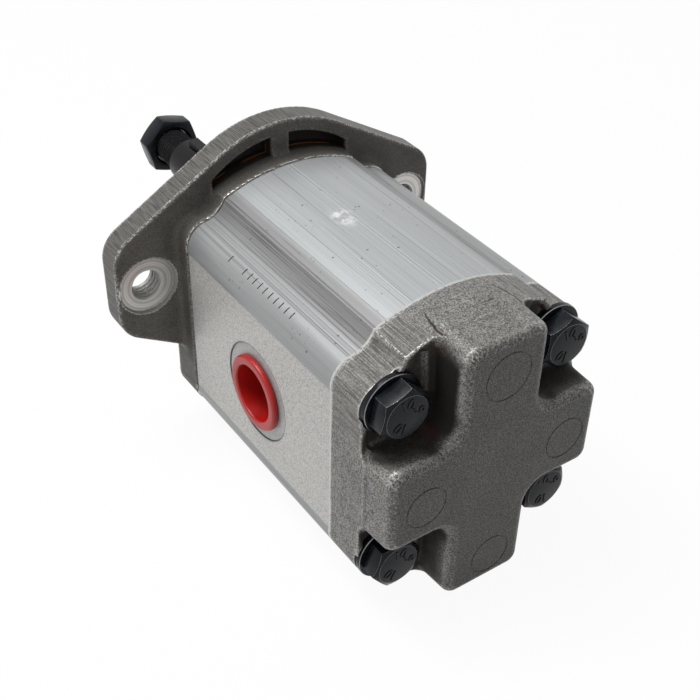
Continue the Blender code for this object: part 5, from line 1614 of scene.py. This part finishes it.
@dataclass
class CoverBolts:
    """The four hexagon bolts with their washers."""

    across_flats: float = 16.0 * MM
    head_height: float = 6.4 * MM
    head_face: float = 6.5 * MM
    face_radius: float = 7.35 * MM
    shank: float = 5.0 * MM
    tip: float = 127.1 * MM
    thread_from: float = 90.0 * MM
    pitch: float = 1.5 * MM
    washer_bore: float = 5.3 * MM
    washer_radius: float = 10.1 * MM
    washer_rear: float = 13.2 * MM
    washer_front: float = 15.2 * MM
    mark_size: float = 5.2 * MM
    mark_height: float = 0.2 * MM
    mark_radius: float = 2.6 * MM
    mark_step: float = 33.0
    turns: tuple[float, ...] = (19.0, 9.0, 21.0, 36.0)

    def head(self) -> Mesh:
        """Head and shank about the Y axis, with the head's near face at its place."""
        corner = self.across_flats / 2 / math.cos(math.pi / 6)
        hexagon = arc(0, 0, corner, 0, 300, 5)
        top, under = self.head_face, self.head_face + self.head_height
        face, outer = self.face_radius, corner * 1.02
        drop = (corner - face) * math.tan(math.radians(30))
        blank = lathe([(0, top), (face - 0.15 * MM, top), (face, top + 0.12 * MM), (outer, top + drop),
                       (outer, under), (0, under)], 96)
        mesh = carved(mesh_of(prism(hexagon, top, under)), ("INTERSECT", blank))
        mesh = bevelled(mesh, 0.16 * MM, 2, 24, True)
        shank, sunk, tip, start = self.shank, 0.7 * MM, self.tip, self.thread_from
        rod = lathe([(0, under - MM), (shank, under - MM), (shank, start), (shank - sunk, start + sunk),
                     (shank - sunk, tip - 0.6 * MM), (shank - 1.3 * MM, tip), (0, tip)], 40)
        return carved(mesh, ("UNION", rod))

    def marks(self) -> list[Mesh]:
        """Raised strength grade and size numbers round the head's face."""
        made = []
        for words, turn in (("10.9", 140.0), ("10", 320.0)):
            for i, letter in enumerate(words):
                curve = bpy.data.curves.new("mark", "FONT")
                curve.body, curve.size, curve.align_x = letter, self.mark_size, "CENTER"
                curve.extrude, curve.bevel_depth = self.mark_height, 0.04 * MM
                mesh = evaluated_mesh(placed("mark", curve))
                swing = math.radians(turn + self.mark_step * (i - (len(words) - 1) / 2))
                spot = Matrix.Translation((0, self.head_face, 0)) @ Matrix.Rotation(math.pi / 2, 4, "X")
                out = Matrix.Translation((0, self.mark_radius, 0))
                mesh.transform(spot @ Matrix.Rotation(-swing + math.pi / 2, 4, "Z") @ out)
                made.append(mesh)
        return made

    def build(self, helix: Tree) -> None:
        """Make the bolts and washers and put them in the scene."""
        black = Finish.BLACK
        # Broken edges take the worn finish, partly a painted highlight.
        trim = Finish.WORN_AND_GLINT
        turns = (self.tip - MM - self.thread_from) / self.pitch
        thread = helix.run(black, Radius=self.shank - 0.62 * MM, Pitch=self.pitch, Turns=turns,
                           Start=self.thread_from + 0.4 * MM, Ridge=0.62 * MM)
        pattern = plain_mesh(shape_of(self.head(), *self.marks(), thread))
        bore, out = self.washer_bore, self.washer_radius
        profile = rounded([(bore, self.washer_rear, 0.2 * MM), (out, self.washer_rear, 0.35 * MM),
                           (out, self.washer_front, 0.3 * MM), (bore, self.washer_front, 0.2 * MM)], 4)
        for number, ((x, z), turn) in enumerate(zip(LAYOUT.bolt_spots(), self.turns), 1):
            mesh = pattern.copy()
            mesh.transform(Matrix.Translation((x, 0, z)) @ Matrix.Rotation(-math.radians(turn), 4, "Y"))
            add_piece(f"bolt_{number}_marked", smoothed(mesh, 38), black, "housing", "black_oxide_steel",
                      f"cover_bolt_{number}", trim=trim)
            washer = mesh_of(moved(lathe(profile, 72, True), (x, 0, z)))
            # Faces at the washer's outer rear edge take the worn finish, partly a painted highlight.
            for face in washer.polygons:
                radius = math.hypot(face.center.x - x, face.center.z - z)
                face.material_index = int(out - 0.17 * MM < radius < out - 0.03 * MM
                                          and face.center.y < self.washer_rear + 0.3 * MM)
            add_piece(f"washer_{number}_turned", washer, black, "housing", "black_oxide_steel",
                      f"cover_washer_{number}", trim=trim)


@dataclass
class GearShape:
    """Involute tooth form that the two gears share."""

    teeth: int = 12
    module: float = 2.645 * MM
    pressure: float = math.radians(25)
    backlash: float = 0.35 * MM
    tip: float = 18.515 * MM
    root: float = 12.56 * MM
    rear: float = 53.4 * MM
    front: float = 91.4 * MM
    steps: int = 10
    weld: float = 0.004 * MM

    def sector(self, phase: float) -> Mesh:
        """One tooth's wedge of the gear, open where it meets its neighbours.

        Args:
            phase: Angle of the tooth's middle in radians from +X towards +Z.
        Returns:
            The wedge's mesh.
        """
        pitch = self.module * self.teeth / 2
        base = pitch * math.cos(self.pressure)
        half = (math.pi * self.module / 2 - self.backlash) / (2 * pitch)
        half += math.tan(self.pressure) - self.pressure
        flank = [(self.root, half)]
        for i in range(self.steps + 1):
            radius = base + (self.tip - base) * i / self.steps
            lean = math.acos(base / radius)
            flank.append((radius, half - (math.tan(lean) - lean)))
        width = math.pi / self.teeth
        rim = [(self.root, -width)] + [(r, -a) for r, a in flank] + [(r, a) for r, a in flank[::-1]]
        rim.append((self.root, width))
        bm = bmesh.new()
        rings = []
        for y in (self.rear, self.front):
            ring = [bm.verts.new((r * math.cos(phase + a), y, r * math.sin(phase + a))) for r, a in rim]
            rings.append((bm.verts.new((0, y, 0)), ring))
        for centre, ring in rings:
            bm.faces.new([centre, *ring])
        for i in range(len(rim) - 1):
            bm.faces.new([rings[0][1][i], rings[0][1][i + 1], rings[1][1][i + 1], rings[1][1][i]])
        return mesh_of(bm)

    def gear(self, phase: float, polar: Tree, finish: Finish) -> Shape:
        """Whole gear as a closed shape.

        Args:
            phase: Angle of one tooth's middle.
            polar: Tree that sets the teeth round the axis.
            finish: Finish for the tree's end.
        Returns:
            The gear about the Y axis.
        """
        gear = shape_of(polar.repeat(self.sector(phase), finish, Count=self.teeth, Weld=self.weld))
        bmesh.ops.remove_doubles(gear, verts=gear.verts, dist=self.weld)
        bmesh.ops.recalc_face_normals(gear, faces=gear.faces)
        return gear


@dataclass
class DriveTrain:
    """Drive gear and its shaft with the key's slot, the nut, and the driven gear."""

    form: GearShape = field(default_factory=GearShape)
    journal: float = 10.0 * MM
    rear: float = 30.5 * MM
    driven_front: float = 114.3 * MM
    chamfer: float = 0.5 * MM
    taper_rear: float = 168.9 * MM
    taper_front: float = 191.4 * MM
    taper_small: float = 8.594 * MM
    thread: float = 7.0 * MM
    thread_rear: float = 193.2 * MM
    end: float = 213.3 * MM
    pitch: float = 1.5 * MM
    ridge: float = 0.9 * MM
    crest: float = 0.2 * MM
    nut_flats: float = 20.8 * MM
    nut_rear: float = 204.0 * MM
    nut_thickness: float = 7.7 * MM
    nut_spin: float = -14.0
    slot_y: float = 178.9 * MM
    slot_z: float = 12.776 * MM
    slot_radius: float = 8.3 * MM
    slot_width: float = 4.6 * MM

    def shaft(self, polar: Tree, helix: Tree) -> Mesh:
        """Drive gear with its journals, taper, key slot and threaded end."""
        steel = Finish.GROUND
        c, core = self.chamfer, self.thread - self.ridge
        flare = [(self.taper_small - (self.taper_small - core) * math.sin(a),
                  self.taper_front + (self.thread_rear - self.taper_front) * (1 - math.cos(a)))
                 for a in (math.pi / 2 * i / 6 for i in range(7))]
        profile = [(0, self.rear), (self.journal - c, self.rear), (self.journal, self.rear + c),
                   (self.journal, self.taper_rear), *flare,
                   (core, self.end - 0.6 * MM), (core - 0.6 * MM, self.end), (0, self.end)]
        slot = moved(prism(circle(self.slot_radius, 64), -self.slot_width / 2, self.slot_width / 2),
                     (0, self.slot_y, self.slot_z), math.pi / 2)
        base = mesh_of(self.form.gear(-math.pi / 2, polar, steel))
        mesh = carved(base, ("UNION", lathe(profile, 72)), ("DIFFERENCE", slot))
        turns = (self.end - self.thread_rear - 2.0 * MM) / self.pitch
        thread, crest = (helix.run(steel, Radius=self.thread - ridge, Pitch=self.pitch, Turns=turns,
                                   Start=self.thread_rear + 0.8 * MM, Ridge=ridge)
                         for ridge in (self.ridge, self.crest))
        # The thin crest ridge takes the worn finish, partly a painted highlight.
        for face in crest.polygons:
            face.material_index = 1
        return smoothed(plain_mesh(shape_of(mesh, thread, crest)), 32)

    def nut(self) -> Mesh:
        """Hexagon nut with chamfers on both sides."""
        corner = self.nut_flats / 2 / math.cos(math.pi / 6)
        hexagon = arc(0, 0, corner, self.nut_spin, self.nut_spin + 300, 5)
        flat, outer = self.nut_flats / 2 * 0.96, corner * 1.02
        drop = (corner - flat) * math.tan(math.radians(30))
        low, high = self.nut_rear, self.nut_rear + self.nut_thickness
        blank = lathe([(0, low), (flat, low), (outer, low + drop), (outer, high - drop), (flat, high),
                       (0, high)], 96)
        hole, sunk = self.thread + 0.3 * MM, self.thread + 1.3 * MM
        bore = lathe([(0, low - MM), (sunk + MM, low - MM), (sunk, low), (hole, low + MM), (hole, high - MM),
                      (sunk, high), (sunk + MM, high + MM), (0, high + MM)], 64)
        mesh = carved(mesh_of(prism(hexagon, low, high)), ("INTERSECT", blank), ("DIFFERENCE", bore))
        return bevelled(mesh, 0.25 * MM, 2, 50)

    def build(self, polar: Tree, helix: Tree) -> None:
        """Make the drive train and put it in the scene."""
        add_piece("drive_shaft_ground", self.shaft(polar, helix), Finish.SHAFT,
                  "drive_shaft", "ground_steel", "drive_gear_shaft",
                  trim=Finish.WORN_AND_GLINT)
        add_piece("shaft_nut_chamfered", self.nut(), Finish.BLACK, "drive_shaft",
                  "black_oxide_steel", "shaft_nut")
        c = self.chamfer
        journal = lathe([(0, self.rear), (self.journal - c, self.rear), (self.journal, self.rear + c),
                         (self.journal, self.driven_front - c), (self.journal - c, self.driven_front),
                         (0, self.driven_front)], 64)
        steel = Finish.GROUND
        gear = mesh_of(self.form.gear(math.pi / 2 + math.pi / self.form.teeth, polar, steel))
        mesh = carved(gear, ("UNION", journal))
        mesh.transform(Matrix.Translation((0, 0, 2 * LAYOUT.middle)))
        add_piece("driven_gear_ground", mesh, steel, "driven_shaft", "ground_steel", "driven_gear")


@dataclass
class PortPlugs:
    """Moulded push-in plugs in the two ports."""

    neck: float = 10.8 * MM
    cup: float = 10.0 * MM
    flange: float = 13.3 * MM
    thickness: float = 2.0 * MM
    depth: float = 12.0 * MM
    floor: float = 1.5 * MM
    seat: float = 40.6 * MM

    def build(self) -> None:
        """Make both plugs and put them in the scene."""
        neck, cup, flange, top = self.neck, self.cup, self.flange, self.thickness
        end, floor = -self.depth, self.floor - self.depth
        profile = rounded([(0, end, 0), (neck - 0.5 * MM, end, 0.4 * MM), (neck, end + MM, 0.4 * MM),
                           (neck, 0, 0.2 * MM), (flange, 0, 0.4 * MM), (flange, top, 0.9 * MM),
                           (cup, top, 0.7 * MM), (cup, floor, 0.8 * MM), (0, floor, 0)], 6)
        for name, side in (("left", -1), ("right", 1)):
            place = (side * self.seat, LAYOUT.port_y, LAYOUT.port_z)
            plug = moved(lathe(profile, 96), place, -side * math.pi / 2)
            add_piece(f"plug_{name}_moulded", mesh_of(plug, 50), Finish.RED,
                      f"{name}_plug", "red_plastic", f"port_plug_{name}")


@dataclass
class Outrigger:
    """Ball bearing in the nose with its shields and cage, and the two spring rings."""

    outer: float = 20.7 * MM
    inner: float = 10.3 * MM
    rear: float = 129.8 * MM
    width: float = 12.0 * MM
    circle: float = 15.5 * MM
    ball: float = 3.175 * MM
    balls: int = 9
    shoulder: float = 2.8 * MM
    shield: float = 0.5 * MM
    shield_inset: float = 0.8 * MM

    def race(self, wall: float, shoulder: float, low: float, high: float) -> Mesh:
        """One race.

        Args:
            wall: Radius of its seat.
            shoulder: Radius of its edge towards the balls.
            low, high: Angles over which its groove runs.
        Returns:
            The race's mesh.
        """
        groove = arc(self.circle, self.width / 2, self.ball + 0.3 * MM, low, high, 12)
        corners = [(shoulder, 0.0), *groove, (shoulder, self.width)]
        profile = [(wall, self.width), (wall, 0.0), *corners]
        bm = moved(lathe(profile, 96, True), (0, self.rear, 0))
        return bevelled(mesh_of(bm), 0.2 * MM, 2, 60)

    def spring_ring(self, bore: float, y: float) -> Mesh:
        """Open retaining ring with eyes at its ends."""
        outer = bore + 0.8 * MM
        inner, lug = outer - 3.0 * MM, outer - 4.6 * MM
        start, end = 102.0, 438.0
        outline = arc(0, 0, outer, start, end, 72) + arc(0, 0, lug, end, end - 11, 6)
        outline += arc(0, 0, inner, end - 11, start + 11, 66) + arc(0, 0, lug, start + 11, start, 6)
        ring = mesh_of(prism(outline, y, y + 1.4 * MM))
        eyes = cluster(prism(circle(0.75 * MM, 24, *[(outer - 2.4 * MM) * f(math.radians(a))
                                                     for f in (math.cos, math.sin)]),
                             y - MM, y + 3 * MM) for a in (start + 5.5, end - 5.5))
        return bevelled(carved(ring, ("DIFFERENCE", eyes)), 0.12 * MM, 1, 50)

    def build(self, polar: Tree) -> None:
        """Make the bearing and the rings and put them in the scene."""
        steel = Finish.GROUND
        lean = math.degrees(math.acos(self.shoulder / (self.ball + 0.3 * MM)))
        add_piece("bearing_outer_ground", self.race(self.outer, self.circle + self.shoulder, -lean, lean),
                  steel, "housing", "ground_steel", "bearing_outer_race")
        add_piece("bearing_inner_ground",
                  self.race(self.inner, self.circle - self.shoulder, 180 + lean, 180 - lean), steel,
                  "drive_shaft", "ground_steel", "bearing_inner_race")
        for end, y in (("rear", self.shield_inset), ("front", self.width - self.shield_inset - self.shield)):
            low, high = self.circle - self.shoulder + 0.4 * MM, self.circle + self.shoulder - 0.3 * MM
            radii = (low, low + MM, low + 1.5 * MM, high - 1.5 * MM, high - MM, high)
            thick, dish = self.shield, 0.25 * MM
            profile = [*zip(radii, (0, 0, dish, dish, 0, 0)),
                       *zip(radii[::-1], (thick, thick, thick - dish / 2, thick - dish / 2, thick, thick))]
            mesh = mesh_of(moved(lathe(profile, 96, True), (0, self.rear + y, 0)), 60)
            add_piece(f"bearing_shield_{end}_pressed", mesh, steel, "housing", "ground_steel",
                      f"bearing_{end}_shield")
        for name, bore, y in (("seal", 17.5 * MM, 126.4 * MM), ("bearing", 21.0 * MM, 142.1 * MM)):
            add_piece(f"{name}_spring_ring", self.spring_ring(bore, y), Finish.BLACK,
                      "housing", "black_oxide_steel", f"{name}_retaining_ring")
        self.build_cage(polar)

    def build_cage(self, polar: Tree) -> None:
        """Make the balls and the cage that spaces them."""
        brass = Finish.BRASS
        ball = bmesh.new()
        bmesh.ops.create_icosphere(ball, subdivisions=3, radius=self.ball)
        half, deep, y = 1.1 * MM, 1.7 * MM, self.rear + self.width / 2
        balls = polar.repeat(mesh_of(moved(ball, (self.circle, y, 0))), brass, Count=self.balls, Weld=0.0)
        band = lathe([(self.circle - half, y - deep), (self.circle + half, y - deep),
                      (self.circle + half, y + deep), (self.circle - half, y + deep)], 72, True)
        balls.materials.clear()
        mesh = carved(mesh_of(band), ("UNION", shape_of(balls)))
        add_piece("ball_cage_filled", mesh, brass, "ball_cage", "brass_cage", "bearing_ball_cage")


class InnerPieces:
    """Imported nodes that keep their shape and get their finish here."""

    finishes: dict[Finish, tuple[str, ...]] = {
        Finish.ALLOY: ("front_bearing_block", "rear_bearing_block"),
        Finish.BRONZE: ("front_drive_liner", "front_driven_liner", "rear_drive_liner", "rear_driven_liner"),
        Finish.RUBBER: ("front_housing_seal", "rear_housing_seal", "shaft_lip_seal"),
        Finish.SEAL: ("front_pressure_seal", "rear_pressure_seal"),
        Finish.SHAFT: ("woodruff_key",),
        Finish.GROUND: ("dowel_pin_1", "dowel_pin_2", "dowel_pin_3", "dowel_pin_4")}

    def __init__(self, nodes: dict[str, Object]) -> None:
        """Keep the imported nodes."""
        self.nodes = nodes

    def build(self) -> None:
        """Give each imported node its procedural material."""
        for finish, names in self.finishes.items():
            for name in names:
                for slot in self.nodes[name].material_slots:
                    slot.material = finish.material()
                LOG.info("%s: packed node in %s", name, finish.name.lower())


@dataclass
class Studio:
    """Plain pale floor, soft light and the camera."""

    floor_z: float = -66.5 * MM
    floor_size: float = 12.0
    lens: float = 61.82
    place: Triple = (-189.37 * MM, -190.17 * MM, 234.67 * MM)
    right: Triple = (0.8248, -0.5652, 0.0184)
    down: Triple = (-0.3358, -0.5158, -0.7881)
    forward: Triple = (0.4549, 0.6438, -0.6152)
    ambient: float = 0.28
    shadow_share: float = 0.06

    def camera(self) -> None:
        """Set the camera at the photograph's angle."""
        data = bpy.data.cameras.new("camera")
        data.lens, data.sensor_width = self.lens, 36.0
        data.clip_start, data.clip_end = 0.01, 50.0
        camera = placed("camera", data)
        axes = Matrix((self.right, [-v for v in self.down], [-v for v in self.forward])).transposed()
        camera.matrix_world = Matrix.Translation(self.place) @ axes.to_4x4()
        bpy.context.scene.camera = camera

    def seen(self, graph: Graph) -> Socket:
        """1 for camera, glossy and transmission rays."""
        path = graph.add("LightPath").outputs
        return graph.most(*(path[f"Is {kind} Ray"] for kind in ("Camera", "Glossy", "Transmission")))

    def world(self) -> None:
        """White to the camera and to reflections, softer as light."""
        world = bpy.data.worlds.new("studio")
        world.use_nodes = True
        bpy.context.scene.world = world
        graph = Graph(world.node_tree)
        light = graph.between(self.seen(graph), self.ambient, 1.0)
        graph.feed(world.node_tree.nodes["Background"], {"Color": (1, 1, 1, 1), "Strength": light})

    def floor(self) -> None:
        """Pale floor that is white to the camera but for the object's soft shadow."""
        half = self.floor_size / 2
        bm = bmesh.new()
        bm.faces.new([bm.verts.new((x, y, self.floor_z)) for x, y in
                      ((-half, -half), (half, -half), (half, half), (-half, half))])
        surface = Surface("floor")
        nodes = surface.tree.nodes
        nodes.remove(nodes["Principled BSDF"])
        matte = surface.first("BsdfDiffuse", {"Color": (0.9, 0.9, 0.9, 1)})
        white = surface.first("Emission", {"Color": (1, 1, 1, 1), "Strength": 1.0})
        share = surface.times(self.seen(surface), 1 - self.shadow_share)
        mixed = surface.first("MixShader", {0: share, 1: matte, 2: white})
        surface.feed(nodes["Material Output"], {0: mixed})
        mesh = mesh_of(bm)
        mesh.materials.append(surface.material)
        placed("floor", mesh)

    def lamp(self, name: str, place: Sequence[float], size: float, power: float) -> None:
        """Square soft light aimed at the motor.

        Args:
            name: Name of the light.
            place: Where it stands.
            size: Length of its side.
            power: Its power in watts.
        """
        data = bpy.data.lights.new(name, "AREA")
        data.shape, data.size, data.energy = "SQUARE", size, power
        lamp = placed(name, data)
        aim = Vector((0, 80 * MM, LAYOUT.middle)) - Vector(place)
        turn = aim.to_track_quat("-Z", "Y").to_matrix().to_4x4()
        lamp.matrix_world = Matrix.Translation(place) @ turn

    def build(self) -> None:
        """Set up the whole studio."""
        scene = bpy.context.scene
        scene.view_settings.view_transform = "Standard"
        self.camera()
        self.world()
        self.floor()
        self.lamp("key", (-0.32, 0.35, 0.98), 0.5, 10.5)
        self.lamp("fill", (-0.9, -0.4, 0.5), 0.5, 0.6)


def main() -> None:
    """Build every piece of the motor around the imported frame."""
    logging.basicConfig(level=logging.INFO, format="%(name)s %(message)s")
    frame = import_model()
    Studio().build()
    polar, row, helix = polar_tree(), row_tree(), helix_tree()
    RearCover().build()
    MountingFlange().build()
    GearHousing().build(row)
    CoverBolts().build(helix)
    DriveTrain().build(polar, helix)
    Outrigger().build(polar)
    PortPlugs().build()
    InnerPieces(frame["nodes"]).build()


if __name__ == "__main__":
    main()
